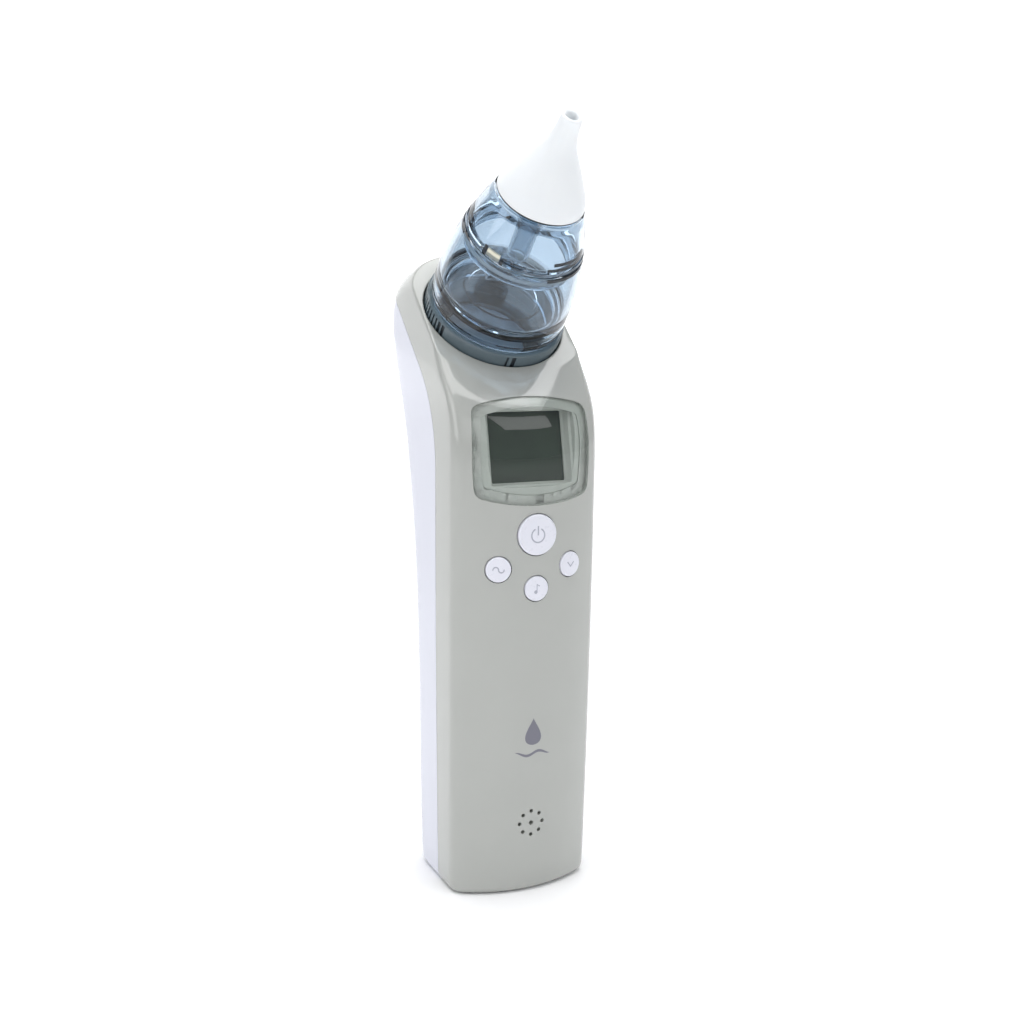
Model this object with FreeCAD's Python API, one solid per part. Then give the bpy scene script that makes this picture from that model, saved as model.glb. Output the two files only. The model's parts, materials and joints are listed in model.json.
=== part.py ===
import FreeCAD, Part
import math
import os

# Battery nasal aspirator: a hand-held suction unit with a leaning clear collection cup and a soft tip.
# Millimetres.  +Z is up, -Y is the face with the display and the buttons, +X is the user's right.
# The origin is the middle of the flat base that the unit stands on.

os.makedirs("parts", exist_ok=True)
V = FreeCAD.Vector

# ---- handle shell: driving sizes ------------------------------------------------------------------
neck_height = 118.0        # the straight grip ends here and the head begins to lean
half_width = 21.25         # half the width of the grip at its widest
base_narrowing = 0.65      # the base is this much narrower on each side
front_depth = 18.4         # from the axis to the crown of the front face, at the buttons
front_taper = 0.4          # the crown is this much further back at the base
rear_depth_base = 18.1     # from the axis to the back, at the base
rear_depth_neck = 29.6     # ... at the neck
rear_swell_base = 3.8      # how the back's line leaves the base and reaches the neck
rear_swell_neck = 11.8
grip_sections = 6          # equal steps between the base and the neck
front_crown = 38.0         # radius of the bowed front face, seen from above
front_round = 5.0          # radius between the front face and the sides
rear_crown = 60.0          # radius of the bowed back, seen from above
rear_round = 8.0           # radius between the back and the sides
head_crown = 25.5          # the same two radii at the mouth, where the head is round
head_round = 15.0
wall = 2.2                 # thickness of both covers
base_round = 2.4           # rounded edge under the base
parting_gap = 0.15         # fine line between the two covers
running_gap = 0.3          # clearance between pieces that move past each other
joint_gap = 0.05           # clearance of a shaft in its hole, on the radius

# ---- mouth of the head and the cup that stands in it ------------------------------------------------
mouth_tilt = 42.5          # lean of the cup axis, degrees forward of upright
mouth_y = 11.3
mouth_z = neck_height + 39.2
mouth_radius = 19.9
mouth_side = 20.9          # half the width of the head in the mouth plane
front_lip = 22.0           # from the cup axis to the front and the back of the head, in that plane
rear_lip = 25.0
throat_reach = 13.0        # how far the front's bend reaches, below and above
hump_start_y = 9.0         # how the back swells out behind the mouth
hump_start_z = 29.0
hump_end_y = 30.3
hump_end_z = 6.1
socket_depth = 11.2        # depth of the round well, along the cup axis
parting_drop = 11.5        # the line between the covers runs this far below the mouth plane
parting_y = -1.9           # and starts here at the base
parting_lean = 2.6         # and has come back by this much at the neck
parting_bend = 36.0        # radius of its bend
head_fan = 6               # sections between the neck and the mouth

socket_radius = mouth_radius - running_gap
socket_wall = 1.9
socket_top = 3.4
socket_floor = 1.5
cup_base = 3.8             # heights along the cup axis, above the mouth plane
cup_base_radius = 18.8
cup_seam = 27.6
cup_seam_radius = 16.4
cover_top = 40.7
cover_top_radius = 11.8
tip_top = 64.6
tip_radius = 2.75
tip_bore = 1.6
cup_wall = 1.5
plug_depth = 5.0           # the plug under the cup reaches this far below the mouth plane
plug_wall = 1.6
spigot_radius = 6.6        # neck that the soft tip is pushed over
spigot_height = 5.6
tube_radius = 3.0          # drip tube that hangs in the cup
tube_wall = 0.9
tube_end = 21.5
seal_section = 1.0         # thickness of the rubber rings

# ---- front face ---------------------------------------------------------------------------------------
power_z = neck_height - 17.3
music_z = neck_height - 31.8
side_button_z = neck_height - 26.2
side_button_x = 10.5
power_radius = 5.5
small_radius = 3.4
button_proud = 0.55
button_gap = 0.25
button_flange = 0.9
button_round = 0.35
flange_thickness = 0.5
button_travel = 0.8
stem_radius = 1.2
stem_depth = 4.0
speaker_z = 20.2
speaker_ring = 3.4
speaker_holes = 8
speaker_hole_radius = 0.55
speaker_middle_radius = 0.65
lens_half_width = 16.3
lens_bottom = neck_height - 9.4
lens_top = neck_height + 18.3
lens_shoulder = 2.3        # how much lower the lens corners are than the bow of its edge
lens_corner = 3.0
lens_thickness = 1.4
lens_gap = 0.2
window_border = 2.4        # width of the ledge that the lens is glued to
window_corner = 1.2
display_half_width = 10.75
display_height = 18.8
display_y = 8.2 - front_depth          # front of the glass panel, at mid height
display_z = neck_height + 5.0
display_lean = 12.5
panel_border = 2.4
panel_thickness = 2.6

# ---- inside the grip -----------------------------------------------------------------------------------
board_y = 7.2 - front_depth            # front of the circuit board
board_thickness = 1.2
board_half_width = 12.4
board_bottom = 31.0
board_top = neck_height - 8.0
switch_size = 4.6
switch_height = 1.0
pad_thickness = 0.5
speaker_radius = 8.8
speaker_thickness = 4.0
magnet_radius = 5.0
gasket_thickness = 0.5
cell_radius = 7.15         # two AA cells side by side
cell_length = 49.2
cell_nub = 1.3
cell_nub_radius = 2.7
cell_spacing = 14.8
cell_y = 8.0
cell_bottom = 13.0
tray_wall = 1.3
tray_end = 1.4
door_half_width = 14.9
door_bottom = 10.0
door_top = 66.5
door_gap = 0.3
door_top_gap = 0.6
latch_half_width = 5.0
latch_height = 3.0
screw_x = 15.3
screw_rows = (6.6, neck_height - 44.0, neck_height - 11.5)
screw_y = 6.0              # underside of the screw heads
screw_radius = 0.85
screw_head_radius = 1.9
screw_head = 1.3
boss_radius = 2.8

# ---- vacuum pump ----------------------------------------------------------------------------------------
motor_y = 9.5
motor_radius = 10.0
motor_bottom = neck_height - 46.0
motor_length = 25.4
motor_cap = 1.2
bearing_radius = 3.0
shaft_radius = 1.0
crank_throw = 0.6
crank_disc_radius = 4.4
crank_disc = 1.5
crank_pin_radius = 2.0
crank_pin_height = 5.0
rod_wall = 2.1
rod_height = 4.2
rod_arm_half_width = 1.5
rod_disc_radius = 4.0
rod_disc = 1.0
pump_wall = 1.5
pump_radius = motor_radius + 0.5
pump_height = 10.4
flange_half = 9.4          # half the side of the square pump head
flange_y = -0.2
diaphragm_thickness = 0.5
valve_plate = 2.4
valve_recess = 1.3         # room for the diaphragm's stroke
head_cap = 3.6
port_x = 4.5
port_radius = 1.7
port_bore = 1.0
port_height = 5.5
hose_wall = 0.9
hose_stub_y = 12.0         # where the hose meets the socket from below
hose_stub_drop = 7.0
hose_rise = 10.0
muffler_radius = 3.2
muffler_height = 7.0

# ---- small helpers ------------------------------------------------------------------------------------------
AXIS = V(0, -math.sin(math.radians(mouth_tilt)), math.cos(math.radians(mouth_tilt)))
ACROSS = V(0, math.cos(math.radians(mouth_tilt)), math.sin(math.radians(mouth_tilt)))
MOUTH = V(0, mouth_y, mouth_z)


def box(x0, x1, y0, y1, z0, z1):
    return Part.makeBox(x1 - x0, y1 - y0, z1 - z0, V(x0, y0, z0))


def rod(radius, start, end):
    return Part.makeCylinder(radius, (end - start).Length, start, end - start)


def tube(outer, inner, start, end):
    return rod(outer, start, end).cut(rod(inner, start, end))


def turned(profile):
    # A solid of revolution about the local Z axis, from (radius, height) points.
    corners = [V(radius, 0, height) for radius, height in profile]
    face = Part.Face(Part.makePolygon(corners + corners[:1]))
    return face.revolve(V(0, 0, 0), V(0, 0, 1), 360)


def turned_curve(outer, closing):
    # As turned(), with the outer points joined by one smooth curve.
    spline = Part.BSplineCurve()
    spline.interpolate([V(radius, 0, height) for radius, height in outer])
    corners = [V(outer[-1][0], 0, outer[-1][1])]
    corners += [V(radius, 0, height) for radius, height in closing]
    corners += [V(outer[0][0], 0, outer[0][1])]
    wire = Part.Wire([spline.toShape()] + Part.makePolygon(corners).Edges)
    return Part.Face(wire).revolve(V(0, 0, 0), V(0, 0, 1), 360)


def on_cup_axis(shape):
    # The local Z axis becomes the cup axis, with height zero in the mouth plane.
    placed = shape.copy()
    placed.Placement = FreeCAD.Placement(MOUTH, FreeCAD.Rotation(V(1, 0, 0), mouth_tilt))
    return placed


def bezier(points, share):
    a, b, c, d = points
    rest = 1 - share
    return (a * rest ** 3 + b * (3 * share * rest ** 2) + c * (3 * share ** 2 * rest) + d * share ** 3)


def fuse(shapes):
    return shapes[0].multiFuse(list(shapes[1:])).removeSplitter()


# ---- the handle's outer form ------------------------------------------------------------------------------
def corner_arcs(crown, radius, width):
    # Height of the corner's centre above the crown, and where the corner leaves the crown.
    rise = crown - math.sqrt((crown - radius) ** 2 - (width - radius) ** 2)
    leave_x = (width - radius) * crown / (crown - radius)
    leave_rise = crown - (crown - rise) * crown / (crown - radius)
    angle = 0.5 * math.atan2(crown - rise, width - radius)
    middle_x = width - radius + radius * math.cos(angle)
    middle_rise = rise - radius * math.sin(angle)
    return rise, leave_x, leave_rise, middle_x, middle_rise


def section(front, rear, width, corner, crown, inset):
    # One cross-section, in the plane through the front and rear points and the X direction.
    along = (rear - front).normalize()
    start = front + along * inset
    end = rear - along * inset
    width = width - inset
    f_rise, f_x, f_leave, f_mid, f_midrise = corner_arcs(front_crown - inset, front_round - 0.8 * inset, width)
    r_rise, r_x, r_leave, r_mid, r_midrise = corner_arcs(crown - inset, corner - 0.8 * inset, width)

    def at_front(x, rise):
        return start + along * rise + V(x, 0, 0)

    def at_rear(x, rise):
        return end - along * rise + V(x, 0, 0)

    edges = [
        Part.Arc(at_front(-f_x, f_leave), start, at_front(f_x, f_leave)),
        Part.Arc(at_front(f_x, f_leave), at_front(f_mid, f_midrise), at_front(width, f_rise)),
        Part.LineSegment(at_front(width, f_rise), at_rear(width, r_rise)),
        Part.Arc(at_rear(width, r_rise), at_rear(r_mid, r_midrise), at_rear(r_x, r_leave)),
        Part.Arc(at_rear(r_x, r_leave), end, at_rear(-r_x, r_leave)),
        Part.Arc(at_rear(-r_x, r_leave), at_rear(-r_mid, r_midrise), at_rear(-width, r_rise)),
        Part.LineSegment(at_rear(-width, r_rise), at_front(-width, f_rise)),
        Part.Arc(at_front(-width, f_rise), at_front(-f_mid, f_midrise), at_front(-f_x, f_leave)),
    ]
    return Part.Wire([edge.toShape() for edge in edges])


def handle_form(inset, bottom, top_share):
    # The grip's level sections, then a fan of sections that lean back to the mouth plane.
    front_line = (front_depth - front_taper, front_depth + 0.3, front_depth + 0.2, front_depth - 0.2)
    rear_line = (rear_depth_base, rear_depth_base + rear_swell_base,
                 rear_depth_neck - rear_swell_neck, rear_depth_neck)
    side_line = (half_width - base_narrowing, half_width - 0.1, half_width, half_width)
    wires = []
    for step in range(grip_sections + 1):
        share = step / grip_sections
        height = max(share * neck_height, bottom)
        front = V(0, -bezier(front_line, share), height)
        rear = V(0, bezier(rear_line, share), height)
        wires.append(section(front, rear, bezier(side_line, share), rear_round, rear_crown, inset))
    mouth_front = MOUTH - ACROSS * front_lip
    mouth_rear = MOUTH + ACROSS * rear_lip
    neck_front = V(0, -front_line[-1], neck_height)
    neck_rear = V(0, rear_depth_neck, neck_height)
    throat = (neck_front, neck_front + V(0, 0, throat_reach), mouth_front - ACROSS * throat_reach, mouth_front)
    hump = (neck_rear, neck_rear + V(0, hump_start_y, hump_start_z),
            mouth_rear + V(0, hump_end_y, -hump_end_z), mouth_rear)
    for step in range(1, head_fan + 1):
        share = top_share * step / head_fan
        width = half_width + (mouth_side - half_width) * share ** 4
        corner = rear_round + (head_round - rear_round) * share
        crown = rear_crown + (head_crown - rear_crown) * math.sqrt(share)
        wires.append(section(bezier(throat, share), bezier(hump, share), width, corner, crown, inset))
    return Part.makeLoft(wires, True, False, False, 3)


def outer_form():
    form = handle_form(0.0, 0.0, 1.0)
    rim = [edge for edge in form.Edges if edge.BoundBox.ZMax < 0.01]
    return form.makeFillet(base_round, rim)


def parting_solid():
    # Everything on the face side of the line between the two covers.
    foot = V(0, parting_y, -5)
    slope = parting_lean / neck_height
    lean = V(0, slope, 1).normalize()
    plane_point = MOUTH - AXIS * parting_drop
    reach = (plane_point - foot).dot(AXIS) / lean.dot(AXIS)
    corner = foot + lean * reach
    turn = math.acos(lean.dot(ACROSS))
    setback = parting_bend * math.tan(turn / 2)
    bend_start = corner - lean * setback
    bend_end = corner + ACROSS * setback
    chord = (bend_start + bend_end) * 0.5
    bulge = (corner - chord).normalize()
    sagitta = parting_bend * (1 - math.cos(turn / 2))
    far = bend_end + ACROSS * 80
    edges = [
        Part.LineSegment(foot, bend_start).toShape(),
        Part.Arc(bend_start, chord + bulge * sagitta, bend_end).toShape(),
        Part.LineSegment(bend_end, far).toShape(),
        Part.LineSegment(far, V(0, far.y, far.z + 60)).toShape(),
        Part.LineSegment(V(0, far.y, far.z + 60), V(0, -80, far.z + 60)).toShape(),
        Part.LineSegment(V(0, -80, far.z + 60), V(0, -80, -5)).toShape(),
        Part.LineSegment(V(0, -80, -5), foot).toShape(),
    ]
    solid = Part.Face(Part.Wire(edges)).extrude(V(160, 0, 0))
    solid.translate(V(-80, 0, 0))
    return solid


def crown_frame(x, z):
    # A button's seat: its place on the bowed face and the direction that points out of it.
    angle = math.asin(x / front_crown)
    outward = V(math.sin(angle), -math.cos(angle), 0)
    axis_y = front_crown - front_depth
    return V(0, axis_y, z) + outward * front_crown, outward


def crown_sag(reach):
    # How far the inside of the bowed face falls back, this far out from its middle.
    inside = front_crown - wall
    return inside - math.sqrt(inside ** 2 - reach ** 2)


BUTTONS = {
    "power_button": (0.0, power_z, power_radius),
    "left_button": (-side_button_x, side_button_z, small_radius),
    "right_button": (side_button_x, side_button_z, small_radius),
    "music_button": (0.0, music_z, small_radius),
}


def lens_outline(grow):
    # Four bowed sides with rounded corners, as a prism through the front wall.
    half = lens_half_width + grow
    low = lens_bottom - grow
    high = lens_top + grow
    low_side = low + lens_shoulder
    high_side = high - lens_shoulder
    side_bow = 0.6
    middle = 0.5 * (low + high)
    corners = [V(-half, 0, low_side), V(half, 0, low_side), V(half, 0, high_side), V(-half, 0, high_side)]
    bows = [V(0, 0, low), V(half + side_bow, 0, middle), V(0, 0, high), V(-half - side_bow, 0, middle)]
    edges = []
    for index in range(4):
        edges.append(Part.Arc(corners[index], bows[index], corners[(index + 1) % 4]).toShape())
    prism = Part.Face(Part.Wire(edges)).extrude(V(0, 40, 0))
    prism.translate(V(0, -40, 0))
    uprights = [edge for edge in prism.Edges if edge.BoundBox.YLength > 30]
    return prism.makeFillet(max(lens_corner + grow, window_corner), uprights)


# ---- covers, lens and door -------------------------------------------------------------------------------
OUTER = outer_form()
INNER = handle_form(wall, wall, 0.9)
LENS_BED = handle_form(lens_thickness + 0.05, wall, 0.97)
MID_WALL = handle_form(0.5 * wall, 0.5 * wall, 0.95)
FACE_SIDE = parting_solid()


def door_prism(gap, top_gap):
    half = door_half_width + gap
    return box(-half, half, 1.0, 60, door_bottom - gap, door_top + top_gap)


def screw_places():
    return [(side * screw_x, z) for z in screw_rows for side in (-1, 1)]


def make_front_cover():
    well = on_cup_axis(Part.makeCylinder(mouth_radius, socket_depth + 40, V(0, 0, -socket_depth)))
    posts = []
    for x, z in screw_places():
        post = rod(boss_radius, V(x, -front_depth, z), V(x, 30, z)).common(MID_WALL).common(FACE_SIDE)
        posts.append(post.cut(rod(screw_radius - 0.05, V(x, -6.5, z), V(x, 30, z))))
    cover = OUTER.cut(INNER).common(FACE_SIDE)
    cover = cover.fuse(posts[0]).fuse(posts[1]).fuse(posts[2]).fuse(posts[3]).fuse(posts[4]).fuse(posts[5])
    cover = cover.cut(well)
    for x, z, radius in BUTTONS.values():
        seat, outward = crown_frame(x, z)
        cover = cover.cut(rod(radius + button_gap, seat + outward * 2, seat - outward * (wall + 2)))
    for index in range(speaker_holes):
        angle = 2 * math.pi * index / speaker_holes
        spot = V(speaker_ring * math.sin(angle), -front_depth - 2, speaker_z + speaker_ring * math.cos(angle))
        cover = cover.cut(rod(speaker_hole_radius, spot, spot + V(0, wall + 5, 0)))
    spot = V(0, -front_depth - 2, speaker_z)
    cover = cover.cut(rod(speaker_middle_radius, spot, spot + V(0, wall + 5, 0)))
    cover = cover.cut(lens_outline(lens_gap).cut(LENS_BED))
    return cover.cut(lens_outline(-window_border))


def make_rear_cover():
    cover = OUTER.cut(INNER)
    for x, z in screw_places():
        cover = cover.fuse(rod(boss_radius, V(x, -10, z), V(x, 60, z)).common(MID_WALL))
    shifted = FACE_SIDE.copy()
    shifted.translate(V(0, parting_gap, -0.5 * parting_gap))
    cover = cover.cut(shifted)
    for x, z in screw_places():
        cover = cover.cut(rod(screw_radius + 0.15, V(x, -12, z), V(x, 60, z)))
        cover = cover.cut(rod(screw_head_radius + 0.2, V(x, screw_y, z), V(x, 60, z)))
    return cover.cut(door_prism(door_gap, door_top_gap))


def make_display_lens():
    return lens_outline(0.0).common(OUTER).cut(handle_form(lens_thickness, wall, 0.97))


def display_plane(shape):
    # Local Y = 0 is the front of the glass panel, leaning back with the face.
    placed = shape.copy()
    placed.Placement = FreeCAD.Placement(
        V(0, display_y, display_z), FreeCAD.Rotation(V(1, 0, 0), -display_lean))
    return placed


def rectangle(half_x, half_z, y):
    corners = [V(-half_x, y, -half_z), V(half_x, y, -half_z), V(half_x, y, half_z), V(-half_x, y, half_z)]
    return Part.makePolygon(corners + corners[:1])


def make_display_bezel():
    # The sloping frame between the lens and the glass panel.
    half_z = 0.5 * display_height
    slope = Part.makeLoft([
        rectangle(display_half_width, half_z, 0.01),
        rectangle(display_half_width, half_z, -0.4),
        rectangle(display_half_width + 1.4, half_z + 0.9, -12),
    ], True, True)
    block = display_plane(box(-40, 40, -20, -0.05, -40, 40))
    bezel = lens_outline(-window_border - 0.3).common(handle_form(lens_thickness + 0.25, wall, 0.95))
    return bezel.common(block).cut(display_plane(slope))


def make_lcd_module():
    half_x = display_half_width + panel_border
    half_z = 0.5 * display_height + panel_border
    return display_plane(box(-half_x, half_x, 0.0, panel_thickness, -half_z, half_z))


def make_battery_door():
    door = OUTER.cut(INNER).common(door_prism(0.0, 0.0))
    return door.cut(box(-latch_half_width, latch_half_width, 0, 60, door_top - latch_height, door_top + 1))


def make_door_latch():
    # Thumb catch in the notch at the top of the door.
    half = latch_half_width - 0.2
    return OUTER.cut(INNER).common(box(-half, half, 0, 60, door_top - latch_height, door_top + 0.25))


# ---- buttons and electronics ----------------------------------------------------------------------------------
def make_button(x, z, radius):
    seat, outward = crown_frame(x, z)
    flange_depth = wall + crown_sag(radius + button_flange) + running_gap
    cap = rod(radius, seat - outward * flange_depth, seat + outward * button_proud)
    rim = [edge for edge in cap.Edges if (edge.CenterOfMass - seat).dot(outward) > 0]
    cap = cap.makeFillet(button_round, [edge for edge in rim if edge.Closed])
    flange_foot = seat - outward * (flange_depth + flange_thickness)
    flange = rod(radius + button_flange, flange_foot, seat - outward * flange_depth)
    stem_end = stem_depth - 1.3 * stem_radius * abs(outward.x)
    stem = rod(stem_radius, seat - outward * stem_end, flange_foot)
    return fuse([cap, flange, stem])


def stem_foot(x, z):
    seat, outward = crown_frame(x, z)
    return seat - outward * (stem_depth + button_travel + 0.1), outward


def make_main_pcb():
    board = box(-board_half_width, board_half_width, board_y, board_y + board_thickness, board_bottom, board_top)
    chips = [
        box(-4.5, 4.5, board_y + board_thickness, board_y + board_thickness + 1.6, 50, 59),
        box(-8, -4, board_y + board_thickness, board_y + board_thickness + 1.2, 66, 71),
        rod(3.0, V(7, board_y + board_thickness, 44), V(7, board_y + board_thickness + 6.5, 44)),
    ]
    return fuse([board] + chips)


def make_tact_switches():
    switches = []
    half = 0.5 * switch_size
    for x, z, radius in BUTTONS.values():
        foot = stem_foot(x, z)[0]
        switches.append(box(foot.x - half, foot.x + half, board_y - switch_height, board_y, z - half, z + half))
    return Part.makeCompound(switches)


def make_keypad_membrane():
    # Soft pad over the switches. The middle buttons press raised keys; the leaning side buttons pass
    # through holes in it, straight to their switches.
    rear = board_y - switch_height - 0.1
    low = music_z - small_radius - 3
    high = power_z + power_radius + 1.5
    pad = box(-board_half_width, board_half_width, rear - pad_thickness, rear, low, high)
    keys = []
    holes = []
    for x, z, radius in BUTTONS.values():
        foot, outward = stem_foot(x, z)
        if x == 0:
            keys.append(rod(stem_radius + 0.6, foot, V(foot.x, rear - 0.1, z)).common(box(-40, 40, -40, rear, 0, 300)))
            continue
        seat = crown_frame(x, z)[0]
        deepest = wall + crown_sag(radius + button_flange) + running_gap + flange_thickness + button_travel
        holes.append(rod(radius + button_flange + 0.25, seat, seat - outward * (deepest + 0.15)))
        holes.append(rod(stem_radius + 0.35, seat, foot - outward * 2))
    feet = []
    for z in (low + 1.0, high - 1.0):
        feet.append(box(-board_half_width, board_half_width, rear, board_y, z - 1.0, z + 1.0))
    for hole in holes:
        pad = pad.cut(hole)
    return fuse([pad] + keys + feet)


def speaker_front():
    return -front_depth + 0.3 + wall + crown_sag(speaker_radius)


def make_speaker_gasket():
    front = speaker_front()
    return tube(speaker_radius, speaker_radius - 1.6, V(0, front, speaker_z), V(0, front + gasket_thickness, speaker_z))


def make_speaker():
    front = speaker_front() + gasket_thickness
    basket = rod(speaker_radius, V(0, front, speaker_z), V(0, front + 0.6 * speaker_thickness, speaker_z))
    dish = Part.makeCone(speaker_radius - 1.8, 2.0, 1.2, V(0, front, speaker_z), V(0, 1, 0))
    magnet = rod(magnet_radius, V(0, front + 0.5 * speaker_thickness, speaker_z),
                 V(0, front + speaker_thickness, speaker_z))
    return fuse([basket.cut(dish), magnet])


# ---- power supply -------------------------------------------------------------------------------------------------
def cell_places():
    return (-0.5 * cell_spacing, 0.5 * cell_spacing)


cell_top = cell_bottom + cell_length + cell_nub


def make_battery_cells():
    cells = []
    for x in cell_places():
        can = rod(cell_radius, V(x, cell_y, cell_bottom), V(x, cell_y, cell_bottom + cell_length))
        can = can.makeFillet(0.6, [edge for edge in can.Edges if edge.Closed])
        nub = rod(cell_nub_radius, V(x, cell_y, cell_bottom + cell_length - 0.2), V(x, cell_y, cell_top))
        cell = fuse([can, nub])
        if x > 0:
            cell.rotate(V(x, cell_y, 0.5 * (cell_bottom + cell_top)), V(0, 1, 0), 180)
        cells.append(cell)
    return Part.makeCompound(cells)


def tray_ends():
    return cell_bottom - 2.6 - tray_end, cell_top + 0.6 + tray_end


def make_battery_tray():
    low, high = tray_ends()
    half = 0.5 * cell_spacing + cell_radius + tray_wall
    tray = box(-half, half, cell_y - cell_radius - tray_wall, cell_y + 1.5, low, high)
    for x in cell_places():
        tray = tray.cut(rod(cell_radius + 0.15, V(x, cell_y, low + tray_end), V(x, cell_y, high - tray_end)))
        tray = tray.cut(box(x - cell_radius - 0.15, x + cell_radius + 0.15, cell_y, 40, low + tray_end, high - tray_end))
    for x, z in screw_places():
        tray = tray.cut(rod(boss_radius + running_gap, V(x, -20, z), V(x, 60, z)))
    return tray


def make_contact_springs():
    # One flat-topped coil at each cell's flat end.
    springs = []
    low = tray_ends()[0] + tray_end
    high = tray_ends()[1] - tray_end
    for x in cell_places():
        foot = low if x < 0 else cell_top + 0.05
        top = cell_bottom - 0.05 if x < 0 else high
        rings = []
        turns = 3 if x < 0 else 1
        pitch = (top - foot) / turns
        for turn in range(turns):
            base = V(x, cell_y, foot + turn * pitch)
            rings.append(tube(4.2 - 0.7 * turn, 3.0 - 0.7 * turn, base, base + V(0, 0, pitch)))
        springs.append(fuse(rings))
    return Part.makeCompound(springs)


def make_contact_plates():
    low = tray_ends()[0] + tray_end
    high = tray_ends()[1] - tray_end
    left, right = cell_places()
    upper = box(left - 4, left + 4, cell_y - 4, cell_y + 4, cell_top + 0.05, high)
    lower = box(right - 4, right + 4, cell_y - 4, cell_y + 4, low, cell_bottom - 0.05)
    return Part.makeCompound([upper, lower])


def make_casing_screws():
    screws = []
    for x, z in screw_places():
        shank = rod(screw_radius - 0.1, V(x, -6, z), V(x, screw_y, z))
        head = rod(screw_head_radius, V(x, screw_y, z), V(x, screw_y + screw_head, z))
        slot = box(x - 1.2, x + 1.2, screw_y + 0.6, screw_y + screw_head, z - 0.25, z + 0.25)
        cross = box(x - 0.25, x + 0.25, screw_y + 0.6, screw_y + screw_head, z - 1.2, z + 1.2)
        screws.append(fuse([shank, head]).cut(slot).cut(cross))
    return Part.makeCompound(screws)


# ---- pump -------------------------------------------------------------------------------------------------------------
motor_top = motor_bottom + motor_length
crank_z = motor_top + pump_wall + 0.4          # underside of the crank disc
pin_z = crank_z + crank_disc
rod_z = pin_z + 0.3
stack_z = rod_z + 0.5 * rod_height             # height of the rod and the diaphragm
diaphragm_y = flange_y - diaphragm_thickness
plate_y = diaphragm_y - valve_plate
cap_y = plate_y - head_cap
port_y = 0.5 * (plate_y + cap_y)
pocket_radius = rod_disc_radius + crank_throw + 0.8
port_top = stack_z + flange_half + port_height


def on_motor(dz):
    return V(0, motor_y, dz)


def make_motor_can():
    can = tube(motor_radius, shaft_radius + 2.2, on_motor(motor_bottom + motor_cap), on_motor(motor_top))
    flats = box(-30, 30, motor_y - 30, motor_y - 0.8 * motor_radius, 0, 300)
    flats = flats.fuse(box(-30, 30, motor_y + 0.8 * motor_radius, motor_y + 60, 0, 300))
    return can.cut(flats)


def make_motor_end_cap():
    cap = rod(motor_radius - 0.3, on_motor(motor_bottom), on_motor(motor_bottom + motor_cap))
    tabs = [box(x - 1.2, x + 1.2, motor_y - 0.3, motor_y + 0.3, motor_bottom - 3, motor_bottom + 0.2) for x in (-5, 5)]
    flats = box(-30, 30, motor_y - 30, motor_y - 0.78 * motor_radius, 0, 300)
    flats = flats.fuse(box(-30, 30, motor_y + 0.78 * motor_radius, motor_y + 60, 0, 300))
    return fuse([cap] + tabs).cut(flats)


def make_motor_bearing():
    return tube(bearing_radius, shaft_radius + joint_gap, on_motor(motor_top - 2.0), on_motor(motor_top + 1.0))


def make_crank_shaft():
    # Motor spindle, rotor, crank disc and the pin that is off centre towards the back at rest.
    spindle = rod(shaft_radius, on_motor(motor_bottom + motor_cap + 0.5), on_motor(crank_z + 0.1))
    rotor = rod(shaft_radius + 1.8, on_motor(motor_bottom + motor_cap + 3), on_motor(motor_top - 4))
    disc = rod(crank_disc_radius, on_motor(crank_z), on_motor(pin_z))
    pin_base = V(0, motor_y + crank_throw, pin_z - 0.1)
    pin = rod(crank_pin_radius, pin_base, pin_base + V(0, 0, crank_pin_height + 0.1))
    return fuse([spindle, rotor, disc, pin])


def make_pump_rod():
    centre = V(0, motor_y + crank_throw, rod_z)
    eye_radius = crank_pin_radius + rod_wall
    eye = rod(eye_radius, centre, centre + V(0, 0, rod_height))
    arm = box(-rod_arm_half_width, rod_arm_half_width, flange_y + 0.4, centre.y - 0.5, rod_z, rod_z + rod_height)
    disc = rod(rod_disc_radius, V(0, flange_y + 0.15, stack_z), V(0, flange_y + 0.15 + rod_disc, stack_z))
    whole = fuse([eye, arm, disc])
    return whole.cut(rod(crank_pin_radius + joint_gap, centre - V(0, 0, 1), centre + V(0, 0, rod_height + 1)))


def flange_box(y0, y1):
    return box(-flange_half, flange_half, y0, y1, stack_z - flange_half, stack_z + flange_half)


def make_pump_housing():
    shell = rod(pump_radius, on_motor(motor_top), on_motor(motor_top + pump_height))
    body = fuse([shell, flange_box(flange_y, flange_y + 3.2).cut(
        box(-30, 30, -30, 60, 0, motor_top))])
    body = body.cut(box(-30, 30, -30, flange_y, 0, 300))
    body = body.cut(rod(pump_radius - pump_wall, on_motor(motor_top + pump_wall), on_motor(motor_top + pump_height + 1)))
    body = body.cut(rod(bearing_radius + 0.02, on_motor(motor_top - 1), on_motor(motor_top + pump_wall + 1)))
    pocket = rod(pocket_radius, V(0, flange_y - 1, stack_z), V(0, flange_y + 6, stack_z))
    return body.cut(pocket)


def make_pump_lid():
    top = motor_top + pump_height
    return rod(pump_radius, on_motor(top), on_motor(top + 1.2)).cut(box(-30, 30, -30, flange_y + 3.3, 0, 300))


def make_diaphragm():
    bead = rod(flange_half - 0.6, V(0, diaphragm_y, stack_z), V(0, flange_y, stack_z))
    middle = flange_y - 0.5 * diaphragm_thickness
    return bead.cut(tube(6.0, 5.2, V(0, middle, stack_z), V(0, flange_y + 0.1, stack_z)))


def bolt_places():
    reach = flange_half - 1.2
    return [(x * reach, stack_z + z * reach) for x in (-1, 1) for z in (-1, 1)]


def drilled(shape, radius):
    for x, z in bolt_places():
        shape = shape.cut(rod(radius, V(x, -20, z), V(x, 20, z)))
    return shape


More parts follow.
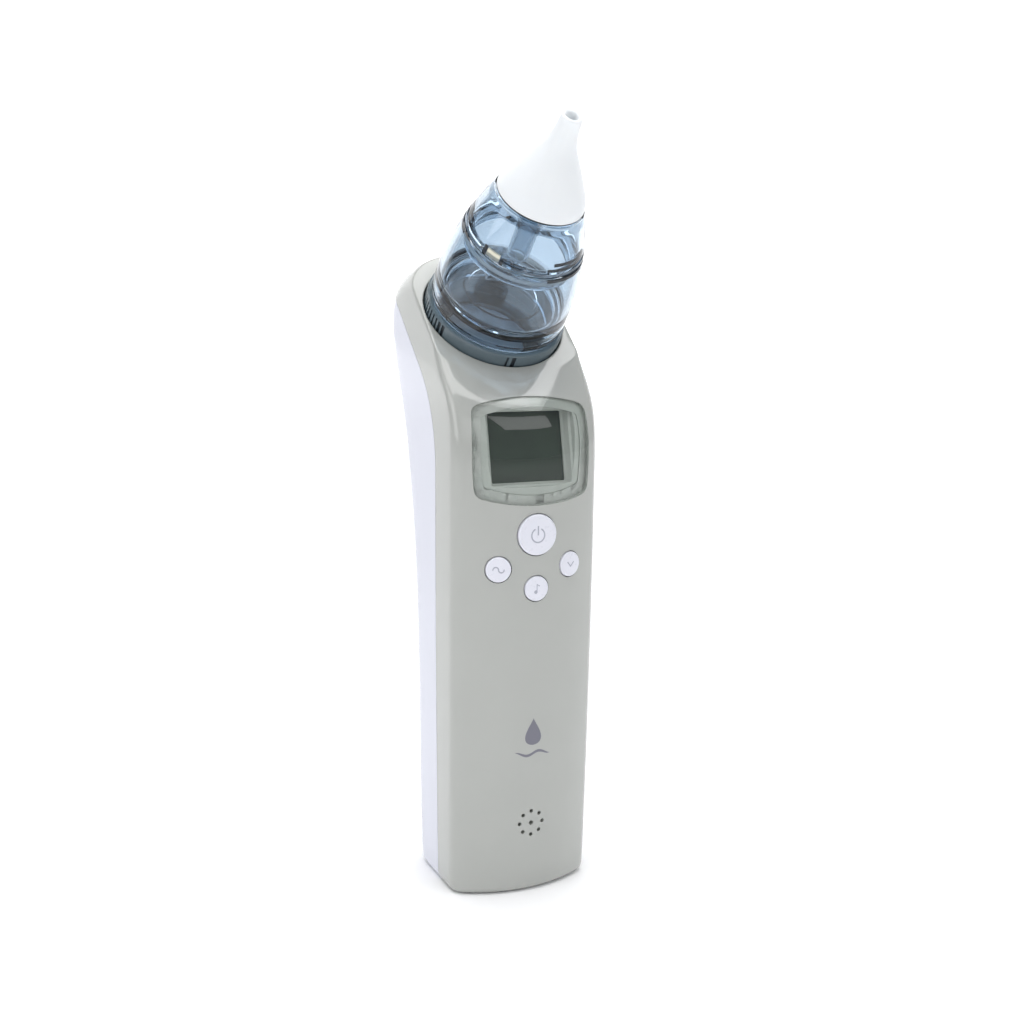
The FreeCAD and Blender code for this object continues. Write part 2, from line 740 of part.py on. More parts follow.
def make_valve_plate():
    plate = flange_box(plate_y, diaphragm_y)
    recess = rod(pocket_radius, V(0, diaphragm_y - valve_recess, stack_z), V(0, diaphragm_y + 1, stack_z))
    plate = plate.cut(recess)
    for x in (-port_x, port_x):
        plate = plate.cut(rod(1.2, V(x, plate_y - 1, stack_z), V(x, diaphragm_y + 1, stack_z)))
    return drilled(plate, 0.8)


def make_pump_head_cap():
    cap = flange_box(cap_y, plate_y)
    for x in (-port_x, port_x):
        top = V(x, port_y, port_top)
        barb = rod(port_radius, V(x, port_y, stack_z + flange_half - 0.5), top)
        cap = cap.fuse(barb).cut(rod(port_bore, V(x, port_y, stack_z), top + V(0, 0, 1)))
        cap = cap.cut(rod(1.2, V(x, port_y, stack_z), V(x, plate_y + 0.1, stack_z)))
    return drilled(cap, 0.8)


def make_pump_bolts():
    bolts = []
    for x, z in bolt_places():
        shank = rod(0.7, V(x, cap_y, z), V(x, plate_y + valve_plate, z))
        head = rod(1.15, V(x, cap_y - 0.9, z), V(x, cap_y, z))
        bolts.append(fuse([shank, head]))
    return Part.makeCompound(bolts)


def make_pump_bracket():
    # Rubber saddle that holds the motor off the back wall.
    block = box(-motor_radius + 1, motor_radius - 1, motor_y + 3, motor_y + 30, motor_bottom + 4, motor_top - 4)
    block = block.common(handle_form(wall + 0.1, wall, 0.9))
    block = block.cut(rod(motor_radius + 0.05, on_motor(motor_bottom), on_motor(motor_top)))
    flats = box(-30, 30, motor_y, motor_y + 0.8 * motor_radius + 0.05, 0, 300)
    return block.cut(flats)


def rounded_path(points):
    # Straight runs joined by tangent arcs, each as large as its two runs allow.
    edges = []
    here = points[0]
    for index in range(1, len(points) - 1):
        before = (points[index - 1] - points[index])
        after = (points[index + 1] - points[index])
        setback = 0.45 * min(before.Length, after.Length)
        start = points[index] + before.normalize() * setback
        end = points[index] + after.normalize() * setback
        toward = (start + end) * 0.5 - points[index]
        half_turn = math.acos(max(-1.0, min(1.0, before.dot(after)))) / 2
        centre_reach = setback / math.cos(half_turn)
        radius = setback * math.tan(half_turn)
        middle = points[index] + toward.normalize() * (centre_reach - radius)
        edges.append(Part.LineSegment(here, start).toShape())
        edges.append(Part.Arc(start, middle, end).toShape())
        here = end
    edges.append(Part.LineSegment(here, points[-1]).toShape())
    return Part.Wire(edges)


def hose_route():
    # From the pump's left port, up and back to the stub under the cup socket.
    start = V(-port_x, port_y, stack_z + flange_half + 0.6)
    low = V(-port_x, port_y, start.z + hose_rise)
    stub = stub_bottom()
    high = V(0, hose_stub_y, stub.z - 4.5)
    return [start, low, high, V(0, hose_stub_y, stub.z + 4.0)]


def stub_bottom():
    # The stub stands upright under the sloping floor of the socket.
    floor_point = MOUTH - AXIS * (socket_depth - 0.2)
    along = (hose_stub_y - floor_point.y) / ACROSS.y
    return V(0, hose_stub_y, floor_point.z + along * ACROSS.z - hose_stub_drop)


def sweep_circle(path, radius):
    start = path.Vertexes[0].Point
    ring = Part.Wire([Part.Circle(start, V(0, 0, 1), radius).toShape()])
    return path.makePipeShell([ring], True, True)


def make_suction_hose():
    path = rounded_path(hose_route())
    return sweep_circle(path, port_radius + 0.05 + hose_wall).cut(sweep_circle(path, port_radius + 0.05))


def make_exhaust_muffler():
    bottom = V(port_x, port_y, stack_z + flange_half + 0.3)
    felt = rod(muffler_radius, bottom, bottom + V(0, 0, muffler_height))
    return felt.cut(rod(port_radius + 0.05, bottom, bottom + V(0, 0, port_height - 0.2)))


# ---- cup socket, collection cup, cover and tip --------------------------------------------------------------------------
socket_inner = socket_radius - socket_wall
plug_radius = socket_inner - running_gap


def make_cup_socket():
    ring = turned([
        (socket_inner, -socket_depth + socket_floor + 0.2),
        (0, -socket_depth + socket_floor + 0.2),
        (0, -socket_depth + 0.2),
        (socket_radius, -socket_depth + 0.2),
        (socket_radius, socket_top - 0.6),
        (socket_radius - 0.5, socket_top),
        (socket_inner, socket_top),
    ])
    socket = on_cup_axis(ring)
    stub = stub_bottom()
    pillar = rod(port_radius, stub, stub + V(0, 0, hose_stub_drop + 2.5))
    below = on_cup_axis(Part.makeCylinder(40, 60, V(0, 0, -60 - socket_depth + 0.9)))
    socket = fuse([socket, pillar.common(below)])
    return socket.cut(rod(port_bore, stub - V(0, 0, 1), stub + V(0, 0, hose_stub_drop + 4)))


def ring_seal(radius, height, section_radius):
    return Part.makeTorus(radius, section_radius, V(0, 0, height), V(0, 0, 1))


def make_socket_seal():
    # Flat rubber washer on the socket's floor, under the cup's plug.
    floor = -socket_depth + socket_floor + 0.2
    washer = turned([(socket_inner - 0.4, floor), (socket_inner - 5.0, floor),
                     (socket_inner - 5.0, floor + 1.4), (socket_inner - 0.4, floor + 1.4)])
    return on_cup_axis(washer)


def cup_radius_at(height):
    # Outside of the cup and its cover: a gently bowed taper from the base to the cover's top.
    share = (height - cup_base) / (cover_top - cup_base)
    straight = cup_base_radius + (cover_top_radius - cup_base_radius) * share
    middle = (cup_seam - cup_base) / (cover_top - cup_base)
    chord = cup_base_radius + (cover_top_radius - cup_base_radius) * middle
    bow = (cup_seam_radius - chord) / (middle * (1 - middle))
    return straight + bow * share * (1 - share)


def bowed(low, high, inset, steps=5):
    heights = [low + (high - low) * index / steps for index in range(steps + 1)]
    return [(cup_radius_at(height) - inset, height) for height in heights]


cup_floor = 7.0
skirt_height = 5.2          # the cover's skirt reaches this far into the cup
skirt_wall = 1.3


def make_collection_cup():
    inner = list(reversed(bowed(cup_floor + cup_wall, cup_seam, cup_wall)))
    cup = turned(
        [(plug_radius, -plug_depth), (plug_radius, cup_base)] + bowed(cup_base, cup_seam, 0.0) + inner
        + [(0, cup_floor + cup_wall), (0, cup_floor), (plug_radius - plug_wall, cup_floor),
           (plug_radius - plug_wall, -plug_depth)])
    groove = ring_seal(plug_radius, -1.8, seal_section)
    air = Part.makeCylinder(2.5, 30, V(0, 6.0, cup_floor - 5))
    riser = Part.makeCylinder(3.4, 7.0, V(0, 6.0, cup_floor))
    return on_cup_axis(fuse([cup, riser]).cut(groove).cut(air))


def make_plug_seal():
    # O-ring round the plug, a light squeeze inside the socket.
    ring = ring_seal(plug_radius - 0.15, -1.8, seal_section - 0.15)
    return on_cup_axis(ring.common(Part.makeCylinder(socket_inner - joint_gap, 40, V(0, 0, -20))))


def make_cup_filter():
    return on_cup_axis(Part.makeCylinder(2.45, 2.0, V(0, 6.0, cup_floor + 3.5)))


def make_splash_cap():
    # Small hood over the air riser, so that liquid stays in the cup.
    hood = Part.makeCylinder(4.6, 3.4, V(0, 6.0, cup_floor + 5.0))
    hollow = Part.makeCylinder(3.45, 2.5, V(0, 6.0, cup_floor + 4.9))
    vents = Part.makeBox(1.6, 20, 1.2, V(-0.8, -4, cup_floor + 7.1))
    return on_cup_axis(hood.cut(hollow).cut(vents))


def make_cup_cover():
    top_inner = cover_top - cup_wall
    skirt_radius = cup_radius_at(cup_seam) - cup_wall - running_gap
    inner = list(reversed(bowed(cup_seam, top_inner, cup_wall)))
    outline = [(skirt_radius, cup_seam - skirt_height), (skirt_radius, cup_seam + 0.25)]
    outline += bowed(cup_seam + 0.25, cover_top, 0.0)
    outline += [(spigot_radius, cover_top), (spigot_radius, cover_top + spigot_height - 0.6),
                (spigot_radius - 0.6, cover_top + spigot_height), (0, cover_top + spigot_height), (0, top_inner)]
    outline += [(skirt_radius - skirt_wall, top_inner)] if skirt_radius - skirt_wall < inner[0][0] else []
    outline += inner[:-1] + [(skirt_radius - skirt_wall, cup_seam + 1.5), (skirt_radius - skirt_wall, cup_seam - skirt_height)]
    cover = turned(outline)
    bore = Part.makeCylinder(tube_radius + 0.02, 60, V(0, 0, top_inner - 5))
    groove = ring_seal(skirt_radius, cup_seam - 3.0, 0.8)
    return on_cup_axis(cover.cut(bore).cut(groove))


def make_cover_seal():
    skirt_radius = cup_radius_at(cup_seam) - cup_wall - running_gap
    ring = ring_seal(skirt_radius - 0.1, cup_seam - 3.0, 0.62)
    limit = bowed(cup_seam - 8, cup_seam + 2, cup_wall + joint_gap)
    return on_cup_axis(ring.common(turned(limit + [(0, cup_seam + 2), (0, cup_seam - 8)])))


def make_drip_tube():
    top = cover_top + spigot_height
    return on_cup_axis(turned([(tube_radius, tube_end), (tube_radius, top),
                               (tube_radius - tube_wall, top), (tube_radius - tube_wall, tube_end)]))


def tip_profile():
    # Bell-shaped at the foot, a slim neck, and a slightly flared mouth.
    span = tip_top - cover_top
    shares = ((0.0, 1.0), (0.12, 0.925), (0.28, 0.755), (0.45, 0.565), (0.6, 0.39), (0.71, 0.305), (0.82, 0.262))
    points = [(cover_top_radius * radius, cover_top + 0.3 + span * share) for share, radius in shares]
    return points + [(tip_radius, tip_top - 0.6)]


def make_nozzle_tip():
    outer = tip_profile()
    sleeve = spigot_radius + 0.06
    closing = [(tip_radius - 0.5, tip_top), (tip_bore, tip_top), (tip_bore, cover_top + spigot_height + 7),
               (tube_radius, cover_top + spigot_height + 0.4), (sleeve, cover_top + spigot_height + 0.4),
               (sleeve, cover_top + 0.3)]
    return on_cup_axis(turned_curve(outer, closing))


# ---- every sub-part, by the name of its node -----------------------------------------------------------------------------
PARTS = {
    "front_cover": make_front_cover,
    "rear_cover": make_rear_cover,
    "display_lens": make_display_lens,
    "display_bezel": make_display_bezel,
    "lcd_module": make_lcd_module,
    "battery_door": make_battery_door,
    "door_latch": make_door_latch,
    "main_pcb": make_main_pcb,
    "tact_switches": make_tact_switches,
    "keypad_membrane": make_keypad_membrane,
    "speaker_gasket": make_speaker_gasket,
    "speaker": make_speaker,
    "battery_cells": make_battery_cells,
    "battery_tray": make_battery_tray,
    "contact_springs": make_contact_springs,
    "contact_plates": make_contact_plates,
    "casing_screws": make_casing_screws,
    "motor_can": make_motor_can,
    "motor_end_cap": make_motor_end_cap,
    "motor_bearing": make_motor_bearing,
    "crank_shaft": make_crank_shaft,
    "pump_rod": make_pump_rod,
    "pump_housing": make_pump_housing,
    "pump_lid": make_pump_lid,
    "diaphragm": make_diaphragm,
    "valve_plate": make_valve_plate,
    "pump_head_cap": make_pump_head_cap,
    "pump_bolts": make_pump_bolts,
    "pump_bracket": make_pump_bracket,
    "suction_hose": make_suction_hose,
    "exhaust_muffler": make_exhaust_muffler,
    "cup_socket": make_cup_socket,
    "socket_seal": make_socket_seal,
    "collection_cup": make_collection_cup,
    "plug_seal": make_plug_seal,
    "cup_filter": make_cup_filter,
    "splash_cap": make_splash_cap,
    "cup_cover": make_cup_cover,
    "cover_seal": make_cover_seal,
    "drip_tube": make_drip_tube,
    "nozzle_tip": make_nozzle_tip,
}

for name, make in PARTS.items():
    make().exportStep("parts/" + name + ".step")
for name, (x, z, radius) in BUTTONS.items():
    make_button(x, z, radius).exportStep("parts/" + name + ".step")
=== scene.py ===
import bpy
import json
import math
from mathutils import Matrix, Vector


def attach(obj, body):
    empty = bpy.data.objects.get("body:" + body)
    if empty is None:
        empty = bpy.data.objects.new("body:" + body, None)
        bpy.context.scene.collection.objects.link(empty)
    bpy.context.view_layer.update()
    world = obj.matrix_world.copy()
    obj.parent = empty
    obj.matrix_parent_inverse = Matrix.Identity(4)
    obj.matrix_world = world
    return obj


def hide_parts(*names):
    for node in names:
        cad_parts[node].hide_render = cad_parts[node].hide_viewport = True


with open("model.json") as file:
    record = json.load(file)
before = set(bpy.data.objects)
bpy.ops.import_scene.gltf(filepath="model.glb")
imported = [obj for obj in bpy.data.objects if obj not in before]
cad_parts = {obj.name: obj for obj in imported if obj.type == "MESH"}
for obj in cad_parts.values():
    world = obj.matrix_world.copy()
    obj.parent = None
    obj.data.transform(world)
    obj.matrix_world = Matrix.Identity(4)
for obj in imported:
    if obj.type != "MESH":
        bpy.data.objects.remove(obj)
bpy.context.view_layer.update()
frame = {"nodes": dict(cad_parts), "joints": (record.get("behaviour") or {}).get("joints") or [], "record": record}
print("frame loaded:", len(frame["nodes"]), "nodes")

# Shapes are worked out in millimetres and made metres when a piece is finished.
mmToM = 0.001


# Small tools that every piece uses.

def clearSelection():
    if bpy.context.object and bpy.context.object.mode == "EDIT":
        bpy.ops.object.mode_set(mode="OBJECT")
    bpy.ops.object.select_all(action="DESELECT")


def pick(piece):
    clearSelection()
    piece.select_set(True)
    bpy.context.view_layer.objects.active = piece


def applyModifier(piece, kind, **settings):
    pick(piece)
    modifier = piece.modifiers.new(kind.lower(), kind)
    for name, value in settings.items():
        setattr(modifier, name, value)
    bpy.ops.object.modifier_apply(modifier=modifier.name)


def boolean(piece, tool, operation, keepTool=False):
    applyModifier(piece, "BOOLEAN", object=tool, operation=operation, solver="EXACT")
    if not keepTool:
        bpy.data.objects.remove(tool)


def copyOf(piece, name):
    twin = piece.copy()
    twin.data = piece.data.copy()
    twin.name = name
    bpy.context.collection.objects.link(twin)
    return twin


def smooth(piece, degrees=28):
    pick(piece)
    bpy.ops.object.shade_smooth_by_angle(angle=math.radians(degrees))


def closeSkin(piece, distance=0.0):
    # Merges what lies closer than the distance and turns every face outwards.
    pick(piece)
    bpy.ops.object.mode_set(mode="EDIT")
    bpy.ops.mesh.select_all(action="SELECT")
    if distance:
        bpy.ops.mesh.remove_doubles(threshold=distance)
    bpy.ops.mesh.normals_make_consistent(inside=False)
    bpy.ops.object.mode_set(mode="OBJECT")
    return piece


def joinPieces(pieces, name):
    clearSelection()
    for piece in pieces:
        piece.select_set(True)
    bpy.context.view_layer.objects.active = pieces[0]
    if len(pieces) > 1:
        bpy.ops.object.join()
    joined = bpy.context.view_layer.objects.active
    joined.name = name
    return joined


def lathe(name, profile, steps=96):
    # One vertex is extruded along the (radius, height) points and spun about Z.
    clearSelection()
    bpy.ops.mesh.primitive_plane_add(size=1)
    piece = bpy.context.object
    piece.name = name
    bpy.ops.object.mode_set(mode="EDIT")
    bpy.ops.mesh.select_all(action="SELECT")
    bpy.ops.mesh.merge(type="CENTER")
    bpy.ops.transform.translate(value=(profile[0][0], 0, profile[0][1]))
    for here, there in zip(profile, profile[1:]):
        step = (there[0] - here[0], 0, there[1] - here[1])
        bpy.ops.mesh.extrude_region_move(TRANSFORM_OT_translate={"value": step})
    bpy.ops.mesh.select_all(action="SELECT")
    bpy.ops.mesh.remove_doubles(threshold=0.0001)
    bpy.ops.mesh.spin(steps=steps, angle=2 * math.pi, center=(0, 0, 0), axis=(0, 0, 1))
    return closeSkin(piece, 0.001)


def smoothLine(points, perSpan=6):
    # A Catmull-Rom line through (radius, height) points.
    line = []
    padded = [points[0]] + list(points) + [points[-1]]
    for a, b, c, d in zip(padded, padded[1:], padded[2:], padded[3:]):
        for step in range(perSpan):
            t = step / perSpan
            line.append(tuple(
                0.5 * (2 * b[k] + (c[k] - a[k]) * t + (2 * a[k] - 5 * b[k] + 4 * c[k] - d[k]) * t ** 2
                       + (3 * b[k] - a[k] - 3 * c[k] + d[k]) * t ** 3) for k in range(2)))
    return line + [tuple(points[-1])]


def roundCorner(centre, radius, start, end, steps=5):
    # Arc in (radius, height), angles in degrees from the outward direction.
    arc = []
    for step in range(steps + 1):
        angle = math.radians(start + (end - start) * step / steps)
        arc.append((centre[0] + radius * math.cos(angle), centre[1] + radius * math.sin(angle)))
    return arc


def tube(name, radius, start, end, sides=48):
    # A plain round tool for cutting, from one point to another.
    clearSelection()
    start, end = Vector(start), Vector(end)
    span = end - start
    bpy.ops.mesh.primitive_cylinder_add(vertices=sides, radius=radius, depth=span.length)
    piece = bpy.context.object
    piece.name = name
    turn = span.to_track_quat("Z", "Y").to_matrix().to_4x4()
    piece.data.transform(Matrix.Translation((start + end) / 2) @ turn)
    return piece


def block(name, low, high):
    clearSelection()
    low, high = Vector(low), Vector(high)
    bpy.ops.mesh.primitive_cube_add(size=1)
    piece = bpy.context.object
    piece.name = name
    piece.data.transform(Matrix.Translation((low + high) / 2) @ Matrix.Diagonal((*(high - low), 1)))
    return piece


def hoop(name, radius, thick, height, sides=16):
    # A round-section ring about Z, at a height.
    clearSelection()
    bpy.ops.mesh.primitive_torus_add(major_radius=radius, minor_radius=thick, major_segments=144,
                                     minor_segments=sides)
    piece = bpy.context.object
    piece.name = name
    piece.data.transform(Matrix.Translation((0, 0, height)))
    return piece


def prism(name, outline, low, high):
    # The (x, z) outline as a solid that runs along Y.
    clearSelection()
    bpy.ops.mesh.primitive_circle_add(vertices=len(outline), fill_type="NGON")
    piece = bpy.context.object
    piece.name = name
    for vertex, (x, z) in zip(piece.data.vertices, outline):
        vertex.co = (x, low, z)
    bpy.ops.object.mode_set(mode="EDIT")
    bpy.ops.mesh.select_all(action="SELECT")
    bpy.ops.mesh.extrude_region_move(TRANSFORM_OT_translate={"value": (0, high - low, 0)})
    return closeSkin(piece)


def seat(piece, body, nodes=(), material=None, place=None):
    # Finished piece: in metres, on its body, standing for its CAD nodes.
    piece.data.transform(Matrix.Scale(mmToM, 4) @ (place or Matrix.Identity(4)))
    piece.data.update()
    piece.data.materials.clear()
    if material:
        piece.data.materials.append(material)
    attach(piece, body)
    if nodes:
        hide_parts(*nodes)
    return piece


# Finishes, each from what the real one is made of.

def linear(hexColour):
    # sRGB hex to the linear values that the shader takes.
    values = [int(hexColour[k:k + 2], 16) / 255 for k in (1, 3, 5)]
    return [v / 12.92 if v <= 0.04045 else ((v + 0.055) / 1.055) ** 2.4 for v in values] + [1.0]


def addNode(tree, kind, settings=None, links=None):
    node = tree.nodes.new(kind)
    for name, value in (settings or {}).items():
        if isinstance(name, str) and hasattr(node, name):
            setattr(node, name, value)
        else:
            node.inputs[name].default_value = value
    for name, source in (links or {}).items():
        tree.links.new(source, node.inputs[name])
    return node


def startMaterial(name):
    material = bpy.data.materials.new(name)
    material.use_nodes = True
    tree = material.node_tree
    return material, tree, tree.nodes["Principled BSDF"]


def perMillimetre(size):
    # Noise scale, in Object coordinates of metres, for features of this size in millimetres.
    return 1000.0 / size


def mouldedPlastic(name, colour, shade, roughness, grain=1.2, ripple=0.012, coat=0.0, specular=0.5):
    # Injection-moulded ABS: even colour with a very faint cloudiness, and flow ripples in the gloss.
    material, tree, shader = startMaterial(name)
    place = addNode(tree, "ShaderNodeTexCoord")
    cloud = addNode(tree, "ShaderNodeTexNoise", {"Scale": perMillimetre(14), "Detail": 2.0},
                    {"Vector": place.outputs["Object"]})
    mix = addNode(tree, "ShaderNodeMix", {"data_type": "RGBA"}, {"Factor": cloud.outputs["Fac"]})
    mix.inputs["A"].default_value = linear(colour)
    mix.inputs["B"].default_value = linear(shade)
    tree.links.new(mix.outputs["Result"], shader.inputs["Base Color"])
    fine = addNode(tree, "ShaderNodeTexNoise", {"Scale": perMillimetre(grain), "Detail": 3.0},
                   {"Vector": place.outputs["Object"]})
    spread = addNode(tree, "ShaderNodeMapRange", {"To Min": roughness * 0.85, "To Max": roughness * 1.2},
                     {"Value": fine.outputs["Fac"]})
    tree.links.new(spread.outputs["Result"], shader.inputs["Roughness"])
    bump = addNode(tree, "ShaderNodeBump", {"Strength": ripple, "Distance": 0.0004},
                   {"Height": fine.outputs["Fac"]})
    tree.links.new(bump.outputs["Normal"], shader.inputs["Normal"])
    shader.inputs["IOR"].default_value = 1.5
    shader.inputs["Specular IOR Level"].default_value = specular
    shader.inputs["Coat Weight"].default_value = coat
    shader.inputs["Coat Roughness"].default_value = 0.04
    return material


def clearPlastic(name, colour, shadowTint="#E4E9EE", roughness=0.015, ior=1.49, haze=6.0):
    # Moulded clear plastic: tinted at each skin, slow flow waves, and a shadow that lets light through.
    material, tree, shader = startMaterial(name)
    place = addNode(tree, "ShaderNodeTexCoord")
    wave = addNode(tree, "ShaderNodeTexNoise", {"Scale": perMillimetre(haze), "Detail": 1.0},
                   {"Vector": place.outputs["Object"]})
    bump = addNode(tree, "ShaderNodeBump", {"Strength": 0.03, "Distance": 0.0006},
                   {"Height": wave.outputs["Fac"]})
    spread = addNode(tree, "ShaderNodeMapRange", {"To Min": roughness * 0.6, "To Max": roughness * 1.8},
                     {"Value": wave.outputs["Fac"]})
    tree.links.new(bump.outputs["Normal"], shader.inputs["Normal"])
    tree.links.new(spread.outputs["Result"], shader.inputs["Roughness"])
    shader.inputs["Base Color"].default_value = linear(colour)
    shader.inputs["Transmission Weight"].default_value = 1.0
    shader.inputs["IOR"].default_value = ior
    through = addNode(tree, "ShaderNodeBsdfTransparent", {"Color": linear(shadowTint)})
    path = addNode(tree, "ShaderNodeLightPath")
    mix = addNode(tree, "ShaderNodeMixShader", {}, {"Fac": path.outputs["Is Shadow Ray"]})
    tree.links.new(shader.outputs["BSDF"], mix.inputs[1])
    tree.links.new(through.outputs["BSDF"], mix.inputs[2])
    tree.links.new(mix.outputs["Shader"], tree.nodes["Material Output"].inputs["Surface"])
    return material


def thinWindow(name, colour, roughness=0.012):
    # Thin polished acrylic: clear straight through, with the gloss of its skin by Fresnel.
    material, tree, shader = startMaterial(name)
    place = addNode(tree, "ShaderNodeTexCoord")
    wave = addNode(tree, "ShaderNodeTexNoise", {"Scale": perMillimetre(12), "Detail": 1.0},
                   {"Vector": place.outputs["Object"]})
    bump = addNode(tree, "ShaderNodeBump", {"Strength": 0.02, "Distance": 0.0005},
                   {"Height": wave.outputs["Fac"]})
    gloss = addNode(tree, "ShaderNodeBsdfGlossy", {"Roughness": roughness},
                    {"Normal": bump.outputs["Normal"]})
    through = addNode(tree, "ShaderNodeBsdfTransparent", {"Color": linear(colour)})
    fresnel = addNode(tree, "ShaderNodeFresnel", {"IOR": 1.49}, {"Normal": bump.outputs["Normal"]})
    skin = addNode(tree, "ShaderNodeNewGeometry")
    front = addNode(tree, "ShaderNodeMapRange", {"To Min": 1.0, "To Max": 0.0},
                    {"Value": skin.outputs["Backfacing"]})
    outside = addNode(tree, "ShaderNodeMath", {"operation": "MULTIPLY"})
    tree.links.new(fresnel.outputs["Fac"], outside.inputs[0])
    tree.links.new(front.outputs["Result"], outside.inputs[1])
    mix = addNode(tree, "ShaderNodeMixShader", {}, {"Fac": outside.outputs["Value"]})
    tree.links.new(through.outputs["BSDF"], mix.inputs[1])
    tree.links.new(gloss.outputs["BSDF"], mix.inputs[2])
    tree.links.new(mix.outputs["Shader"], tree.nodes["Material Output"].inputs["Surface"])
    tree.nodes.remove(shader)
    return material


def softSilicone(name, colour, shade, roughness=0.42):
    # Liquid-moulded silicone: milky, lets light in under the skin, satin with fine dust.
    material, tree, shader = startMaterial(name)
    place = addNode(tree, "ShaderNodeTexCoord")
    fine = addNode(tree, "ShaderNodeTexNoise", {"Scale": perMillimetre(0.5), "Detail": 4.0},
                   {"Vector": place.outputs["Object"]})
    cloud = addNode(tree, "ShaderNodeTexNoise", {"Scale": perMillimetre(9), "Detail": 2.0},
                    {"Vector": place.outputs["Object"]})
    mix = addNode(tree, "ShaderNodeMix", {"data_type": "RGBA"}, {"Factor": cloud.outputs["Fac"]})
    mix.inputs["A"].default_value = linear(colour)
    mix.inputs["B"].default_value = linear(shade)
    tree.links.new(mix.outputs["Result"], shader.inputs["Base Color"])
    spread = addNode(tree, "ShaderNodeMapRange", {"To Min": roughness * 0.85, "To Max": roughness * 1.15},
                     {"Value": fine.outputs["Fac"]})
    tree.links.new(spread.outputs["Result"], shader.inputs["Roughness"])
    bump = addNode(tree, "ShaderNodeBump", {"Strength": 0.05, "Distance": 0.0002},
                   {"Height": fine.outputs["Fac"]})
    tree.links.new(bump.outputs["Normal"], shader.inputs["Normal"])
    shader.inputs["Subsurface Weight"].default_value = 0.35
    shader.inputs["Subsurface Radius"].default_value = (0.9, 0.95, 1.0)
    shader.inputs["Subsurface Scale"].default_value = 0.0015
    shader.inputs["IOR"].default_value = 1.41
    return material


def workedMetal(name, colour, roughness, stretch=(1, 1, 12)):
    # Drawn or ground metal: fine parallel lines in the roughness.
    material, tree, shader = startMaterial(name)
    place = addNode(tree, "ShaderNodeTexCoord")
    turn = addNode(tree, "ShaderNodeMapping", {"Scale": stretch}, {"Vector": place.outputs["Object"]})
    lines = addNode(tree, "ShaderNodeTexNoise", {"Scale": perMillimetre(2.0), "Detail": 3.0},
                    {"Vector": turn.outputs["Vector"]})
    spread = addNode(tree, "ShaderNodeMapRange", {"To Min": roughness * 0.7, "To Max": roughness * 1.4},
                     {"Value": lines.outputs["Fac"]})
    tree.links.new(spread.outputs["Result"], shader.inputs["Roughness"])
    bump = addNode(tree, "ShaderNodeBump", {"Strength": 0.05, "Distance": 0.0002},
                   {"Height": lines.outputs["Fac"]})
    tree.links.new(bump.outputs["Normal"], shader.inputs["Normal"])
    shader.inputs["Base Color"].default_value = linear(colour)
    shader.inputs["Metallic"].default_value = 1.0
    return material


def feltMaterial():
    # Pressed polyester filter felt: matt and fibrous.
    material, tree, shader = startMaterial("pressedFelt")
    place = addNode(tree, "ShaderNodeTexCoord")
    fibre = addNode(tree, "ShaderNodeTexNoise", {"Scale": perMillimetre(0.4), "Detail": 6.0},
                    {"Vector": place.outputs["Object"]})
    bump = addNode(tree, "ShaderNodeBump", {"Strength": 0.6, "Distance": 0.0003},
                   {"Height": fibre.outputs["Fac"]})
    tree.links.new(bump.outputs["Normal"], shader.inputs["Normal"])
    shader.inputs["Base Color"].default_value = linear("#E8E8E2")
    shader.inputs["Roughness"].default_value = 0.95
    return material


def boardMaterial():
    # Solder mask over copper: green with paler tracks in square steps.
    material, tree, shader = startMaterial("solderMask")
    place = addNode(tree, "ShaderNodeTexCoord")
    tracks = addNode(tree, "ShaderNodeTexVoronoi", {"Scale": perMillimetre(2.4), "distance": "CHEBYCHEV"},
                     {"Vector": place.outputs["Object"]})
    ramp = addNode(tree, "ShaderNodeMapRange", {"From Min": 0.2, "From Max": 0.3},
                   {"Value": tracks.outputs["Distance"]})
    mix = addNode(tree, "ShaderNodeMix", {"data_type": "RGBA"}, {"Factor": ramp.outputs["Result"]})
    mix.inputs["A"].default_value = linear("#2F7A4C")
    mix.inputs["B"].default_value = linear("#1B5E38")
    tree.links.new(mix.outputs["Result"], shader.inputs["Base Color"])
    shader.inputs["Roughness"].default_value = 0.35
    return material


def liquidCrystal():
    # Switched-off display glass: olive-black, with a faint cloud in the cell.
    material, tree, shader = startMaterial("liquidCrystalGlass")
    place = addNode(tree, "ShaderNodeTexCoord")
    cloud = addNode(tree, "ShaderNodeTexNoise", {"Scale": perMillimetre(7), "Detail": 2.0},
                    {"Vector": place.outputs["Object"]})
    mix = addNode(tree, "ShaderNodeMix", {"data_type": "RGBA"}, {"Factor": cloud.outputs["Fac"]})
    mix.inputs["A"].default_value = linear("#3C463D")
    mix.inputs["B"].default_value = linear("#343B36")
    tree.links.new(mix.outputs["Result"], shader.inputs["Base Color"])
    shader.inputs["Roughness"].default_value = 0.32
    return material


# Casings: polished ABS, even in colour, with clear reflections from the mould's mirror finish.
greyAbs = mouldedPlastic("glossyGreyAbs", "#B3B5B0", "#AFB1AC", 0.09, coat=0.5)
whiteAbs = mouldedPlastic("glossyWhiteAbs", "#D8DAE6", "#D4D6E1", 0.12, coat=0.4)
# Spark-eroded ABS: the same plastic with softer highlights.
buttonAbs = mouldedPlastic("satinWhiteAbs", "#E9EAF2", "#E5E6EF", 0.28)
bezelAbs = mouldedPlastic("satinGreyAbs", "#B9BBB6", "#B5B7B2", 0.3)
creamAbs = mouldedPlastic("creamAbs", "#E6E2CF", "#DEDAC6", 0.3)
